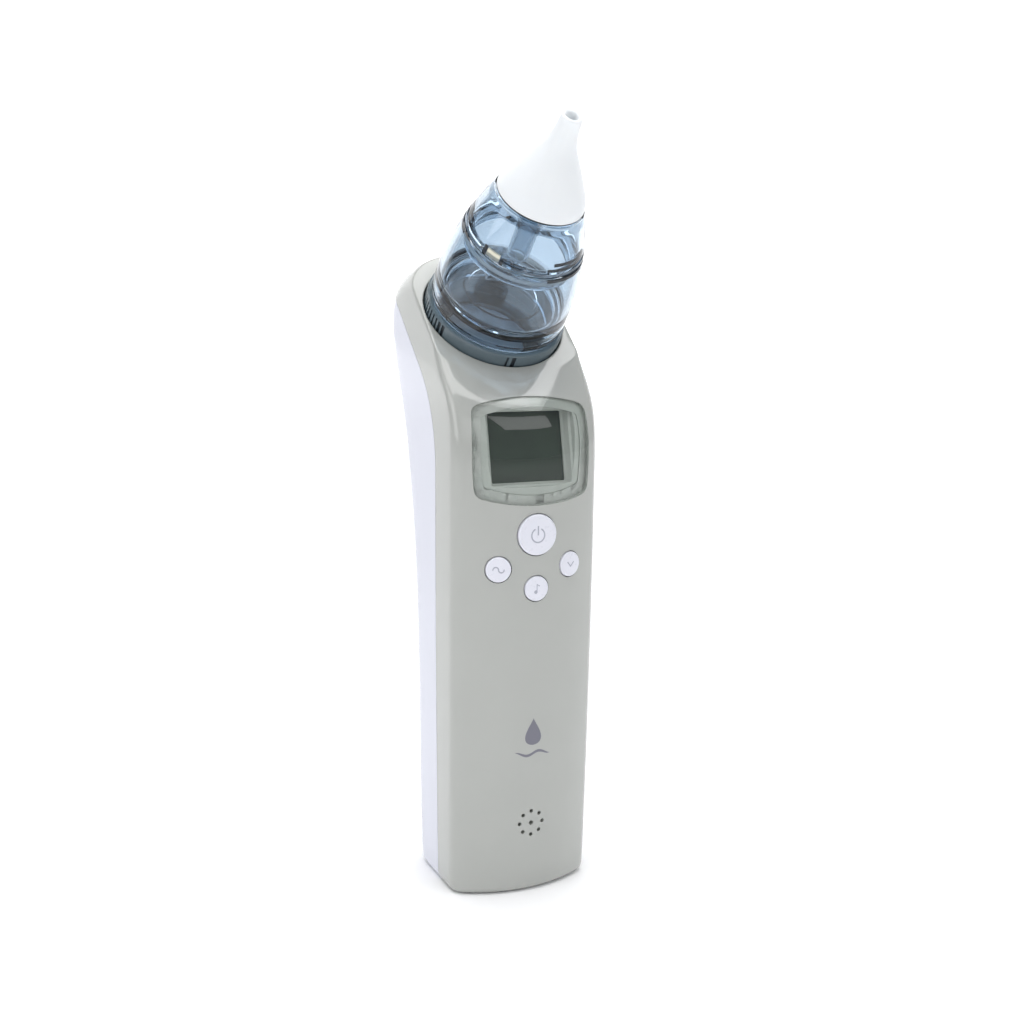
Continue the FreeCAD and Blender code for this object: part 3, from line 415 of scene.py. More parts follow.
# Unpainted nylon inside: dull, and never seen with the casing closed.
innerAbs = mouldedPlastic("naturalNylon", "#DCDCD4", "#D4D4CC", 0.5)
blackAbs = mouldedPlastic("blackNylon", "#1C1D1F", "#222326", 0.45)
cellWrap = mouldedPlastic("shrinkWrap", "#2A2D33", "#25282E", 0.3, coat=0.4)  # tight glossy film on the cells
symbolInk = mouldedPlastic("engravingPaint", "#B4B6C2", "#AEB0BC", 0.5)  # wiped into the marks, flat
printInk = mouldedPlastic("padPrintInk", "#7B7B86", "#767681", 0.45)  # thin and a little duller than the ABS
# Moulded rubber: dark or grey, with a broad soft sheen. The dark one also paints the shade in the gap at the tip's
# foot.
darkRubberAndGapShade = mouldedPlastic("darkRubberAndGapShade", "#23282D", "#1E2328", 0.5, ripple=0.04)
padRubber = mouldedPlastic("greyRubber", "#5A5C60", "#55575B", 0.6, ripple=0.04)
# Smoky polycarbonate: clear with a blue-grey tint that deepens where more skins lie behind each other.
smokyCup = clearPlastic("smokyPolycarbonate", "#C5D2DD")
smokyDark = clearPlastic("smokyPolycarbonateThick", "#C3CFD8")
# Opaque moulded polycarbonate round the mouth: slate ring and pale floor; near-black painted shade for the
# collar's grooves, the seam ribs and the tab stops.
collarSmoke = mouldedPlastic("slatePolycarbonate", "#5C6B72", "#55636A", 0.2, coat=0.3)
socketPlate = mouldedPlastic("palePolycarbonate", "#B4BEC6", "#AAB4BC", 0.3)
collarShade = mouldedPlastic("nearBlackPaintedShade", "#1E262D", "#232B32", 0.3)
lensAcrylic = thinWindow("clearAcrylic", "#FBFDFC")
tipSilicone = softSilicone("whiteSilicone", "#F4F7F8", "#F0F3F5")
hoseSilicone = softSilicone("hoseSilicone", "#E2E6E6", "#DCE0E0", 0.35)
lcdGlass = liquidCrystal()
# Drawn, plated and sintered metal inside.
plainSteel = workedMetal("drawnSteel", "#B8B8B8", 0.3)
springSteel = workedMetal("nickelSpring", "#C9C6BC", 0.22)
bronze = workedMetal("sinteredBronze", "#B88A55", 0.4)
felt = feltMaterial()
solderMask = boardMaterial()
print("materials ready")

slotMaterials = {
    "front_shell": greyAbs, "rear_shell": whiteAbs, "clear_lens": lensAcrylic, "bezel_grey": bezelAbs,
    "lcd_panel": lcdGlass, "circuit_board": solderMask, "switch_metal": plainSteel, "pad_rubber": padRubber,
    "speaker_frame": blackAbs, "cell_wrap": cellWrap, "inner_plastic": innerAbs, "contact_steel": springSteel,
    "screw_steel": plainSteel, "motor_steel": plainSteel, "bearing_bronze": bronze, "shaft_steel": plainSteel,
    "seal_rubber": darkRubberAndGapShade, "hose_silicone": hoseSilicone, "felt": felt, "collar_smoke": collarSmoke,
    "cup_smoke": smokyCup, "tip_silicone": tipSilicone, "button_white": buttonAbs,
}
for subpart in frame["record"]["subparts"]:
    node = frame["nodes"][subpart["node"]]
    node.data.materials.clear()
    node.data.materials.append(slotMaterials[subpart["material_slot"]])


# The handle's form: sections up the grip, then round the head to the mouth.

shell = {
    "neck": 118.0, "halfWidth": 21.25, "narrowing": 0.65,
    "front": (18.0, 18.7, 18.6, 18.2), "rear": (18.1, 21.9, 17.8, 29.6),
    "frontCrown": 38.0, "frontRound": 5.0, "rearCrown": 60.0, "rearRound": 8.0,
    "headCrown": 25.5, "headRound": 15.0, "mouthSide": 20.9, "frontLip": 22.0, "rearLip": 25.0,
    "throat": 13.0, "humpStart": (9.0, 29.0), "humpEnd": (30.3, -6.1),
    "wall": 2.2, "baseRound": 2.4, "rimRound": 0.6, "partingGap": 0.16,
    "partingY": -1.9, "partingLean": 2.6, "partingDrop": 11.5, "partingBend": 36.0,
    "wellRadius": 19.9, "wellDepth": 11.2, "wellRound": 0.45, "frontDepth": 18.4,
}
cupJoint = next(joint for joint in frame["joints"] if joint["name"] == "cup_pull")
twistJoint = next(joint for joint in frame["joints"] if joint["name"] == "cover_twist")
cupAxis = Vector(cupJoint["axis"]).normalized()
mouth = Vector(twistJoint["pos_m"]) / mmToM
across = Vector((0, cupAxis.z, -cupAxis.y))
tilt = math.atan2(-cupAxis.y, cupAxis.z)
onCup = Matrix.Translation(mouth) @ Matrix.Rotation(tilt, 4, "X")


def bezier(points, share):
    a, b, c, d = points
    rest = 1 - share
    return a * rest ** 3 + b * (3 * share * rest ** 2) + c * (3 * share ** 2 * rest) + d * share ** 3


def halfOutline(length, width, corner, crown, inset):
    # (x, distance from the front) down one side, from the middle of the front to the middle of the back.
    width = width - inset
    ends = ((shell["frontCrown"] - inset, max(shell["frontRound"] - 0.8 * inset, 0.8)),
            (crown - inset, corner - 0.8 * inset))
    halves = []
    for bow, radius in ends:
        reach = math.asin((width - radius) / (bow - radius))
        half = [(bow * math.sin(reach * k / 8), bow - bow * math.cos(reach * k / 8)) for k in range(9)]
        centre = (width - radius, bow - (bow - radius) * math.cos(reach))
        for k in range(1, 9):
            angle = reach + (math.pi / 2 - reach) * k / 8
            half.append((centre[0] + radius * math.sin(angle), centre[1] - radius * math.cos(angle)))
        halves.append(half)
    front = [(x, inset + rise) for x, rise in halves[0]]
    rear = [(x, length - inset - rise) for x, rise in reversed(halves[1])]
    sideStart, sideEnd = front[-1], rear[0]
    side = [(width, sideStart[1] + (sideEnd[1] - sideStart[1]) * k / 6) for k in range(1, 6)]
    return front + side + rear


def ringAt(front, rear, width, corner, crown, inset):
    along = (rear - front).normalized()
    half = halfOutline((rear - front).length, width, corner, crown, inset)
    right = [front + along * s + Vector((x, 0, 0)) for x, s in half]
    left = [front + along * s - Vector((x, 0, 0)) for x, s in reversed(half[1:-1])]
    return right + left


def gripRing(height, inset):
    share = height / shell["neck"]
    width = bezier((shell["halfWidth"] - shell["narrowing"], shell["halfWidth"] - 0.1, shell["halfWidth"],
                    shell["halfWidth"]), share)
    front = Vector((0, -bezier(shell["front"], share), height))
    rear = Vector((0, bezier(shell["rear"], share), height))
    return ringAt(front, rear, width, shell["rearRound"], shell["rearCrown"], inset)


def headRing(share, inset):
    mouthFront = mouth - across * shell["frontLip"]
    mouthRear = mouth + across * shell["rearLip"]
    neckFront = Vector((0, -shell["front"][3], shell["neck"]))
    neckRear = Vector((0, shell["rear"][3], shell["neck"]))
    throat = (neckFront, neckFront + Vector((0, 0, shell["throat"])), mouthFront - across * shell["throat"],
              mouthFront)
    hump = (neckRear, neckRear + Vector((0, *shell["humpStart"])), mouthRear + Vector((0, *shell["humpEnd"])),
            mouthRear)
    width = shell["halfWidth"] + (shell["mouthSide"] - shell["halfWidth"]) * share ** 4
    corner = shell["rearRound"] + (shell["headRound"] - shell["rearRound"]) * share
    crown = shell["rearCrown"] + (shell["headCrown"] - shell["rearCrown"]) * math.sqrt(share)
    return ringAt(bezier(throat, share), bezier(hump, share), width, corner, crown, inset)


def handleRings(inset, bottom, top, gripSteps=22, headSteps=34):
    rings = []
    start = bottom
    if inset == 0:
        start = shell["baseRound"]
        for k in range(6):
            angle = math.radians(15 * k)
            rings.append(gripRing(start * (1 - math.cos(angle)), start * (1 - math.sin(angle))))
    for k in range(gripSteps + 1):
        rings.append(gripRing(start + (shell["neck"] - start) * k / gripSteps, inset))
    last = top if inset else 1 - shell["rimRound"] / 40
    for k in range(1, headSteps + 1):
        rings.append(headRing(last * k / headSteps, inset))
    if inset == 0:
        for k in range(1, 5):
            angle = math.radians(22.5 * k)
            rings.append(headRing(1 - shell["rimRound"] * (1 - math.sin(angle)) / 40,
                                  shell["rimRound"] * (1 - math.cos(angle))))
    return rings


def formSolid(name, inset, bottom, top):
    # A filled circle is shaped to the first section, then extruded from section to section.
    rings = handleRings(inset, bottom, top)
    clearSelection()
    bpy.ops.mesh.primitive_circle_add(vertices=len(rings[0]), fill_type="NGON")
    piece = bpy.context.object
    piece.name = name
    for vertex, point in zip(piece.data.vertices, rings[0]):
        vertex.co = point
    for ring in rings[1:]:
        bpy.ops.object.mode_set(mode="EDIT")
        bpy.ops.mesh.extrude_region_move(TRANSFORM_OT_translate={"value": (0, 0, 0)})
        bpy.ops.object.mode_set(mode="OBJECT")
        raised = [vertex for vertex in piece.data.vertices if vertex.select]
        for vertex, point in zip(raised, ring):
            vertex.co = point
    return closeSkin(piece)


# Front and rear covers, cut from one outer form along the parting line.

lens = {"half": 16.3, "low": 108.6, "high": 136.3, "shoulder": 2.3, "corner": 3.0, "bow": 0.6,
        "gap": 0.2, "border": 2.4, "windowCorner": 1.2, "thickness": 1.4}
buttons = {"power_button": (0.0, 100.7, 5.5), "left_button": (-10.5, 91.8, 3.4),
           "right_button": (10.5, 91.8, 3.4), "music_button": (0.0, 86.2, 3.4)}
speaker = {"z": 20.2, "ring": 3.4, "holes": 8, "radius": 0.55, "middle": 0.65}
door = {"half": 14.9, "low": 10.0, "high": 66.5, "gap": 0.3, "topGap": 0.6}
screws = {"rows": (6.6, 74.0, 106.5), "side": 15.3, "mouth": 2.1}


def lensOutline(grow, steps=20):
    # Bowed sides with rounded corners: corners are arcs tangent to the chords of the bows.
    half, low, high = lens["half"] + grow, lens["low"] - grow, lens["high"] + grow
    corner = max(lens["corner"] + grow, lens["windowCorner"])
    lowSide, highSide = low + lens["shoulder"], high - lens["shoulder"]

    def bowAt(share, rise):
        return rise * 4 * share * (1 - share)

    sides = []
    for k in range(steps + 1):
        share = k / steps
        sides.append((-half + 2 * half * share, lowSide - bowAt(share, lens["shoulder"])))
    right = [(half + bowAt(k / steps, lens["bow"]), lowSide + (highSide - lowSide) * k / steps)
             for k in range(steps + 1)]
    top = [(x, low + high - z) for x, z in reversed(sides)]
    left = [(-x, low + high - z) for x, z in right]
    outline = []
    lines = [sides, right, top, left]
    for before, line in zip([left] + lines[:3], lines):
        a, b, c = Vector(before[-4]), Vector(line[0]), Vector(line[3])
        into, out = (b - a).normalized(), (c - b).normalized()
        turn = into.angle(out)
        reach = corner * math.tan(turn / 2)
        start, end = b - into * reach, b + out * reach
        for k in range(9):
            share = k / 8
            outline.append(tuple(start * (1 - share) ** 2 + b * 2 * share * (1 - share) + end * share ** 2))
        near = reach * 1.15
        far = Vector(line[-1])
        outline.extend(p for p in line if (Vector(p) - b).length > near and (Vector(p) - far).length > near)
    return outline


def partingSolid(shift=0.0):
    # The face side of the line between the covers, as a solid across X.
    foot = Vector((shell["partingY"], -5.0))
    lean = Vector((shell["partingLean"] / shell["neck"], 1.0)).normalized()
    axisFlat = Vector((cupAxis.y, cupAxis.z))
    acrossFlat = Vector((across.y, across.z))
    plane = Vector((mouth.y, mouth.z)) - axisFlat * shell["partingDrop"]
    corner = foot + lean * ((plane - foot).dot(axisFlat) / lean.dot(axisFlat))
    turn = lean.angle(acrossFlat)
    setback = shell["partingBend"] * math.tan(turn / 2)
    start = corner - lean * setback
    centre = start + Vector((lean.y, -lean.x)) * shell["partingBend"]
    outline = [(-60.0, -5.0), tuple(foot)]
    for k in range(25):
        angle = -turn * k / 24
        arm = start - centre
        outline.append((centre.x + arm.x * math.cos(angle) - arm.y * math.sin(angle),
                        centre.y + arm.x * math.sin(angle) + arm.y * math.cos(angle)))
    far = corner + acrossFlat * 100
    outline += [tuple(far), (far.x, 260.0), (-60.0, 260.0)]
    moved = [(y + shift, z - 0.5 * shift) for y, z in outline]
    piece = prism("parting", moved, -60, 60)
    piece.data.transform(Matrix.Rotation(math.radians(90), 4, "Z"))
    return piece


def crownSeat(x, z):
    angle = math.asin(x / shell["frontCrown"])
    outward = Vector((math.sin(angle), -math.cos(angle), 0))
    return Vector((0, shell["frontCrown"] - shell["frontDepth"], z)) + outward * shell["frontCrown"], outward


outerForm = formSolid("outerForm", 0, 0, 1.0)
innerForm = formSolid("innerForm", shell["wall"], shell["wall"], 0.9)
bedForm = formSolid("bedForm", lens["thickness"], shell["wall"], 0.97)

frontCover = copyOf(outerForm, "frontCoverSkin")
boolean(frontCover, innerForm, "DIFFERENCE", keepTool=True)
rearCover = copyOf(frontCover, "rearCoverSkin")
boolean(frontCover, partingSolid(), "INTERSECT")
boolean(rearCover, partingSolid(shell["partingGap"]), "DIFFERENCE")

# The well that takes the socket, with a rolled rim at the mouth.
wellRadius, wellDepth, wellRound = shell["wellRadius"], shell["wellDepth"], shell["wellRound"]
wellProfile = [(0, -wellDepth), (wellRadius, -wellDepth)]
wellProfile += roundCorner((wellRadius + wellRound, -wellRound), wellRound, 180, 90)
wellProfile += [(wellRadius + wellRound + 0.01, 30), (0, 30)]
well = lathe("well", wellProfile, steps=144)
well.data.transform(onCup)
boolean(frontCover, well, "DIFFERENCE", keepTool=True)
boolean(rearCover, well, "DIFFERENCE")

for x, z, radius in buttons.values():
    seatPoint, outward = crownSeat(x, z)
    hole = tube("hole", radius + 0.25, seatPoint + outward * 2, seatPoint - outward * 5, sides=72)
    boolean(frontCover, hole, "DIFFERENCE")
for k in range(speaker["holes"] + 1):
    angle = 2 * math.pi * k / speaker["holes"]
    ring = speaker["ring"] if k < speaker["holes"] else 0
    radius = speaker["radius"] if ring else speaker["middle"]
    spot = Vector((ring * math.sin(angle), -20.4, speaker["z"] + ring * math.cos(angle)))
    boolean(frontCover, tube("hole", radius, spot, spot + Vector((0, 7, 0)), sides=24), "DIFFERENCE")
lensCut = prism("lensCut", lensOutline(lens["gap"]), -40, 0)
boolean(lensCut, bedForm, "DIFFERENCE", keepTool=True)
boolean(frontCover, lensCut, "DIFFERENCE")
boolean(frontCover, prism("window", lensOutline(-lens["border"]), -40, 0), "DIFFERENCE")
smooth(frontCover)
seat(frontCover, "root", ["front_cover"], greyAbs)

doorCut = block("doorCut", (-door["half"] - door["gap"], 1.0, door["low"] - door["gap"]),
                (door["half"] + door["gap"], 60, door["high"] + door["topGap"]))
boolean(rearCover, doorCut, "DIFFERENCE")
for z in screws["rows"]:
    for x in (-screws["side"], screws["side"]):
        boolean(rearCover, tube("hole", screws["mouth"], (x, 6.0, z), (x, 60, z), sides=48), "DIFFERENCE")
smooth(rearCover)
seat(rearCover, "root", ["rear_cover"], whiteAbs)
print("covers ready")


# Display: lens, sloping frame and glass.

display = {"half": 10.75, "height": 18.8, "y": -10.2, "z": 123.0, "lean": 12.5, "lensRound": 0.4,
           "panelBorder": 2.4, "panelDepth": 2.6}
onDisplay = (Matrix.Translation((0, display["y"], display["z"]))
             @ Matrix.Rotation(math.radians(-display["lean"]), 4, "X"))

lensPiece = copyOf(outerForm, "displayLensSkin")
boolean(lensPiece, prism("lensPrism", lensOutline(0.0), -40, 0), "INTERSECT")
boolean(lensPiece, bedForm, "DIFFERENCE", keepTool=True)
closeSkin(lensPiece, 0.01)
applyModifier(lensPiece, "BEVEL", width=display["lensRound"], segments=4, limit_method="ANGLE",
              angle_limit=math.radians(50), profile=0.6)
smooth(lensPiece, 40)
seat(lensPiece, "root", ["display_lens"], lensAcrylic)


def steppedFrame():
    # Frame round the glass: a flat collar under the lens, then two sloping steps down to the panel.
    bezel = prism("displayBezelSkin", lensOutline(-lens["border"] - 0.02), -40, 0)
    body = formSolid("bezelForm", lens["thickness"] + 0.25, shell["wall"], 0.95)
    boolean(bezel, body, "INTERSECT")
    behind = block("behind", (-40, -0.05, -60), (40, 60, 60))
    behind.data.transform(onDisplay)
    boolean(bezel, behind, "DIFFERENCE")
    steps = ((0.1, 0.0), (-0.5, 0.0), (-0.9, 0.35), (-2.6, 1.1), (-2.9, 1.7), (-4.2, 2.2), (-12, 3.2))
    half, tall = display["half"], display["height"] / 2
    clearSelection()
    bpy.ops.mesh.primitive_plane_add(size=1)
    funnel = bpy.context.object
    rings = []
    for y, grow in steps:
        gx, gz = grow, grow * 0.72
        rings.append([(-half - gx, y, -tall - gz), (half + gx, y, -tall - gz),
                      (half + gx, y, tall + gz), (-half - gx, y, tall + gz)])
    for vertex, point in zip(funnel.data.vertices, (rings[0][0], rings[0][1], rings[0][3], rings[0][2])):
        vertex.co = point
    for ring in rings[1:]:
        pick(funnel)
        bpy.ops.object.mode_set(mode="EDIT")
        bpy.ops.mesh.select_mode(type="FACE")
        bpy.ops.mesh.extrude_region_move(TRANSFORM_OT_translate={"value": (0, 0, 0)})
        bpy.ops.object.mode_set(mode="OBJECT")
        raised = [vertex for vertex in funnel.data.vertices if vertex.select]
        for vertex in raised:
            side = (1 if vertex.co.x > 0 else 0, 1 if vertex.co.z > 0 else 0)
            vertex.co = ring[{(0, 0): 0, (1, 0): 1, (1, 1): 2, (0, 1): 3}[side]]
    closeSkin(funnel)
    bpy.ops.object.mode_set(mode="EDIT")
    bpy.ops.mesh.select_all(action="DESELECT")
    bpy.ops.object.mode_set(mode="OBJECT")
    for edge in funnel.data.edges:
        a, b = (funnel.data.vertices[i].co for i in edge.vertices)
        edge.select = abs(a.y - b.y) > 0.05 and (a - b).length < 14
    pick(funnel)
    bpy.ops.object.mode_set(mode="EDIT")
    bpy.ops.mesh.select_mode(type="EDGE")
    bpy.ops.mesh.bevel(offset=0.35, segments=4)
    bpy.ops.mesh.select_mode(type="VERT")
    bpy.ops.object.mode_set(mode="OBJECT")
    funnel.data.transform(onDisplay)
    boolean(bezel, funnel, "DIFFERENCE")
    smooth(bezel, 30)
    return seat(bezel, "root", ["display_bezel"], bezelAbs)


steppedFrame()

# Pad-printed mark below the buttons: a plain drop with a wave under it.
printed = {"z": 46.5, "dropHalf": 2.6, "dropTall": 7.6, "waveHalf": 5.2, "waveThick": 0.75, "waveDrop": 6.2,
           "waveRise": 0.55, "proud": 0.02, "deep": 0.12}


def dropOutline(steps=28):
    outline = []
    for k in range(steps):
        angle = 2 * math.pi * k / steps
        taper = math.sin(angle / 2) ** 1.6
        outline.append((printed["dropHalf"] * 1.35 * math.sin(angle) * taper,
                        printed["z"] + printed["dropTall"] * 0.5 * math.cos(angle)))
    return outline


def waveOutline(steps=24):
    top = []
    bottom = []
    for k in range(steps + 1):
        share = -1 + 2 * k / steps
        middle = printed["z"] - printed["waveDrop"] + printed["waveRise"] * math.sin(share * math.pi * 1.5)
        thick = printed["waveThick"] * (1 - share ** 4)
        top.append((share * printed["waveHalf"], middle + thick / 2 + 0.01))
        bottom.append((share * printed["waveHalf"], middle - thick / 2 - 0.01))
    return top + list(reversed(bottom))


skin = formSolid("printSkin", -printed["proud"], 0, 0.9)
core = formSolid("printCore", printed["deep"], 2.0, 0.9)
prints = []
for name, outline in (("printedDrop", dropOutline()), ("printedWave", waveOutline())):
    layer = prism(name, outline, -40, 0)
    boolean(layer, skin, "INTERSECT", keepTool=True)
    boolean(layer, core, "DIFFERENCE", keepTool=True)
    smooth(layer, 40)
    prints.append(layer)
for form in (skin, core):
    bpy.data.objects.remove(form)
seat(joinPieces(prints, "printedMark"), "root", (), printInk)
for form in (outerForm, innerForm, bedForm):
    bpy.data.objects.remove(form)

# Glass panel with the polariser sheet on its face.
glassHalf = display["half"] + display["panelBorder"]
glassTall = display["height"] / 2 + display["panelBorder"]
panel = block("lcdPanelSkin", (-glassHalf, 0.12, -glassTall), (glassHalf, display["panelDepth"], glassTall))
applyModifier(panel, "BEVEL", width=0.15, segments=2)
panel.data.transform(onDisplay)
smooth(panel)
seat(panel, "root", ["lcd_module"], lcdGlass)
sheetHalf, sheetTall = glassHalf - 0.8, glassTall - 0.8
polariser = block("lcdPolariser", (-sheetHalf, 0.0, -sheetTall), (sheetHalf, 0.12, sheetTall))
polariser.data.transform(onDisplay)
seat(polariser, "root", (), lcdGlass)
print("display ready")


# Buttons: domed caps with engraved, painted marks.

cap = {"proud": 0.55, "edge": 0.35, "dome": 0.12, "engrave": 0.07, "wall": 2.2, "flange": 0.9,
       "flangeThickness": 0.5, "stem": 1.2, "stemDepth": 4.0, "running": 0.3}


def strokeMark(points, width):
    # A flat band with round ends that follows the points, as a solid through the cap's top.
    pieces = []
    for (x0, y0), (x1, y1) in zip(points, points[1:]):
        start, end = Vector((x0, y0, 0)), Vector((x1, y1, 0))
        along = (end - start).normalized()
        middle = (start + end) / 2
        clearSelection()
        bpy.ops.mesh.primitive_cube_add(size=1)
        bar = bpy.context.object
        turn = Matrix.Rotation(math.atan2(along.y, along.x), 4, "Z")
        stretch = Matrix.Diagonal(((end - start).length, width, 2, 1))
        bar.data.transform(Matrix.Translation(middle) @ turn @ stretch)
        pieces.append(bar)
    for k, (x, y) in enumerate(points):
        pieces.append(tube("dot", width / 2, (x, y, -1 - 0.001 * k), (x, y, 1 + 0.001 * k), sides=16))
    whole = pieces[0]
    for piece in pieces[1:]:
        boolean(whole, piece, "UNION")
    return whole


def arcPoints(cx, cy, radius, start, end, steps=10):
    points = []
    for k in range(steps + 1):
        angle = math.radians(start + (end - start) * k / steps)
        points.append((cx + radius * math.cos(angle), cy + radius * math.sin(angle)))
    return points


wave = arcPoints(-0.75, 0, 0.75, 180, 0, 8) + arcPoints(0.75, 0, 0.75, 180, 360, 8)[1:]
marks = {
    "power_button": [(arcPoints(0, -0.1, 1.9, 122, 418, 18), 0.42), ([(0, 0.1), (0, 2.3)], 0.42)],
    "left_button": [(wave, 0.36)],
    "right_button": [([(-1.05, 0.6), (0, -0.6), (1.05, 0.6)], 0.36)],
    "music_button": [(arcPoints(-0.35, -0.85, 0.26, 0, 330, 8), 0.5),
                     ([(-0.02, -0.85), (-0.02, 1.2), (0.75, 0.75)], 0.26)],
}


def buttonPiece(name, x, z, radius):
    # Cap, flange and stem in one turning, square to the crowned face. A leaning stem is a little shorter.
    seatPoint, outward = crownSeat(x, z)
    inside = shell["frontCrown"] - cap["wall"]
    reach = radius + cap["flange"]
    flangeDepth = cap["wall"] + inside - math.sqrt(inside ** 2 - reach ** 2) + cap["running"]
    proud, edge = cap["proud"], cap["edge"]
    stemEnd = cap["stemDepth"] - 1.3 * cap["stem"] * abs(outward.x)
    flangeBack = flangeDepth + cap["flangeThickness"]
    profile = [(0, -stemEnd), (cap["stem"], -stemEnd), (cap["stem"], -flangeBack), (reach, -flangeBack),
               (reach, -flangeDepth), (radius, -flangeDepth)]
    profile += roundCorner((radius - edge, proud - edge - cap["dome"]), edge, 0, 80, 6)
    top = proud - cap["dome"]
    for k in range(7):
        share = 1 - k / 6
        profile.append(((radius - edge * 1.2) * share, top + cap["dome"] * (1 - share ** 2)))
    body = lathe(name + "Skin", profile, steps=72)
    inlays = []
    for points, width in marks[name]:
        mark = strokeMark(points, width)
        inlay = copyOf(mark, "inlay")
        mark.data.transform(Matrix.Translation((0, 0, proud + 1 - cap["engrave"] - 0.03)))
        thin = Matrix.Diagonal((0.98, 0.98, 0.05, 1))
        inlay.data.transform(Matrix.Translation((0, 0, proud - cap["engrave"] - 0.065)) @ thin)
        boolean(body, mark, "DIFFERENCE")
        inlays.append(inlay)
    up = Vector((0, 0, 1))
    right = up.cross(outward)
    frameMatrix = Matrix((right, up, outward)).transposed().to_4x4()
    frameMatrix.translation = seatPoint
    smooth(body, 35)
    body.data.transform(frameMatrix)
    seat(body, name, [name], buttonAbs)
    paint = joinPieces(inlays, name + "Mark")
    paint.data.transform(frameMatrix)
    seat(paint, name, (), symbolInk)


for name, (x, z, radius) in buttons.items():
    buttonPiece(name, x, z, radius)
print("buttons ready")


# Cup, cover, collar and tip. Heights run along the cup's axis from the mouth's plane.

cup = {"base": 3.8, "baseRadius": 18.8, "seam": 27.6, "seamRadius": 16.4, "top": 40.7, "topRadius": 11.8,
       "wall": 1.5, "plugDepth": 5.0, "plugWall": 1.6, "floor": 7.0, "skirt": 5.2, "skirtWall": 1.3,
       "running": 0.3, "spigot": 6.6, "spigotHeight": 5.6, "tube": 3.0, "tubeWall": 0.9, "tubeEnd": 21.5,
       "tipTop": 64.6, "tipRadius": 2.75, "tipBore": 1.6}
riser = {"y": 6.0, "radius": 3.4, "bore": 2.5, "low": 0.4, "high": 7.0}
tab = {"start": -150, "end": -136, "wide": 2.3, "deep": 0.7}
collar = {"ribs": 13, "first": -212, "pitch": 4.6, "thin": 0.7, "thick": 1.1,
          "bars": ((-93.2, 1.15), (-98.6, 0.6))}
socket = {"radius": 19.6, "wall": 1.9, "top": 3.4, "depth": 11.0, "floor": 1.5}
plugRadius = socket["radius"] - socket["wall"] - 0.3


def cupRadius(height):
    share = (height - cup["base"]) / (cup["top"] - cup["base"])
    middle = (cup["seam"] - cup["base"]) / (cup["top"] - cup["base"])
    drop = cup["topRadius"] - cup["baseRadius"]
    bow = (cup["seamRadius"] - cup["baseRadius"] - drop * middle) / (middle * (1 - middle))
    return cup["baseRadius"] + drop * share + bow * share * (1 - share)


def cupLine(low, high, inset, steps=14):
    heights = [low + (high - low) * k / steps for k in range(steps + 1)]
    return [(cupRadius(height) - inset, height) for height in heights]


def onCupPiece(piece, body, nodes, material, degrees=28):
    piece.data.transform(onCup)
    smooth(piece, degrees)
    return seat(piece, body, nodes, material)


def collectionCup():
    # Plug and cup in one moulding: outer wall, rolled bottom edge, bowl floor with its concentric steps.
    base, seam, wall, plugEnd = cup["base"], cup["seam"], cup["wall"], -cup["plugDepth"]
    inner, bowl = plugRadius - cup["plugWall"], cup["floor"]
    low = bowl + wall
    profile = [(inner, plugEnd + 0.3), (inner + 0.3, plugEnd), (plugRadius - 0.3, plugEnd)]
    profile += [(plugRadius, plugEnd + 0.3), (plugRadius, -2.7), (plugRadius - 0.85, -2.3),
                (plugRadius - 0.85, -1.3), (plugRadius, -0.9), (plugRadius, base)]  # groove for the O-ring
    profile += [(cup["baseRadius"] - 0.5, base), (cup["baseRadius"] - 0.12, base + 0.15),
                (cup["baseRadius"], base + 0.5)]
    for up, sunk in ((1.5, 0.02), (1.75, 0.22), (2.15, 0.22), (2.4, 0.02)):  # shallow line round the foot
        profile.append((cupRadius(base + up) - sunk, base + up))
    profile += cupLine(base + 3.0, seam - 0.3, 0.0, 22) + [(cupRadius(seam) - 0.3, seam)]
    profile += [(cupRadius(seam) - wall + 0.15, seam), (cupRadius(seam) - wall, seam - 0.25)]
    profile += list(reversed(cupLine(low + 3.4, seam - 1.0, wall, 20)))
    profile += roundCorner((cupRadius(low + 3.4) - wall - 2.6, low + 2.6), 2.6, 0, -90, 8)
    profile += [(11.0, low), (10.8, low + 0.35), (9.8, low + 0.35), (9.6, low), (0, low)]  # raised ring
    profile += [(0, bowl), (inner - 0.6, bowl), (inner, bowl - 0.6), (inner, plugEnd + 0.3)]
    body = lathe("collectionCupSkin", profile, 128)
    y = riser["y"]
    boolean(body, tube("riser", riser["radius"], (0, y, bowl + riser["low"]), (0, y, bowl + riser["high"])),
            "UNION")
    boolean(body, tube("air", riser["bore"], (0, y, bowl - 5), (0, y, bowl + 25)), "DIFFERENCE")
    return onCupPiece(body, "cup", ["collection_cup"], smokyCup)


def splashHood():
    # Hood over the air riser, with a slot across its top.
    profile = [(3.45, 12.0), (3.45, 14.4), (0, 14.4), (0, 15.4), (4.3, 15.4), (4.6, 15.1), (4.6, 12.3),
               (4.45, 12.0), (3.45, 12.0)]
    hood = lathe("splashCapSkin", profile, 64)
    hood.data.transform(Matrix.Translation((0, riser["y"], 0)))
    boolean(hood, block("vent", (-0.8, -4, 14.1), (0.8, 16, 15.3)), "DIFFERENCE")
    return onCupPiece(hood, "cup", ["splash_cap"], smokyCup)


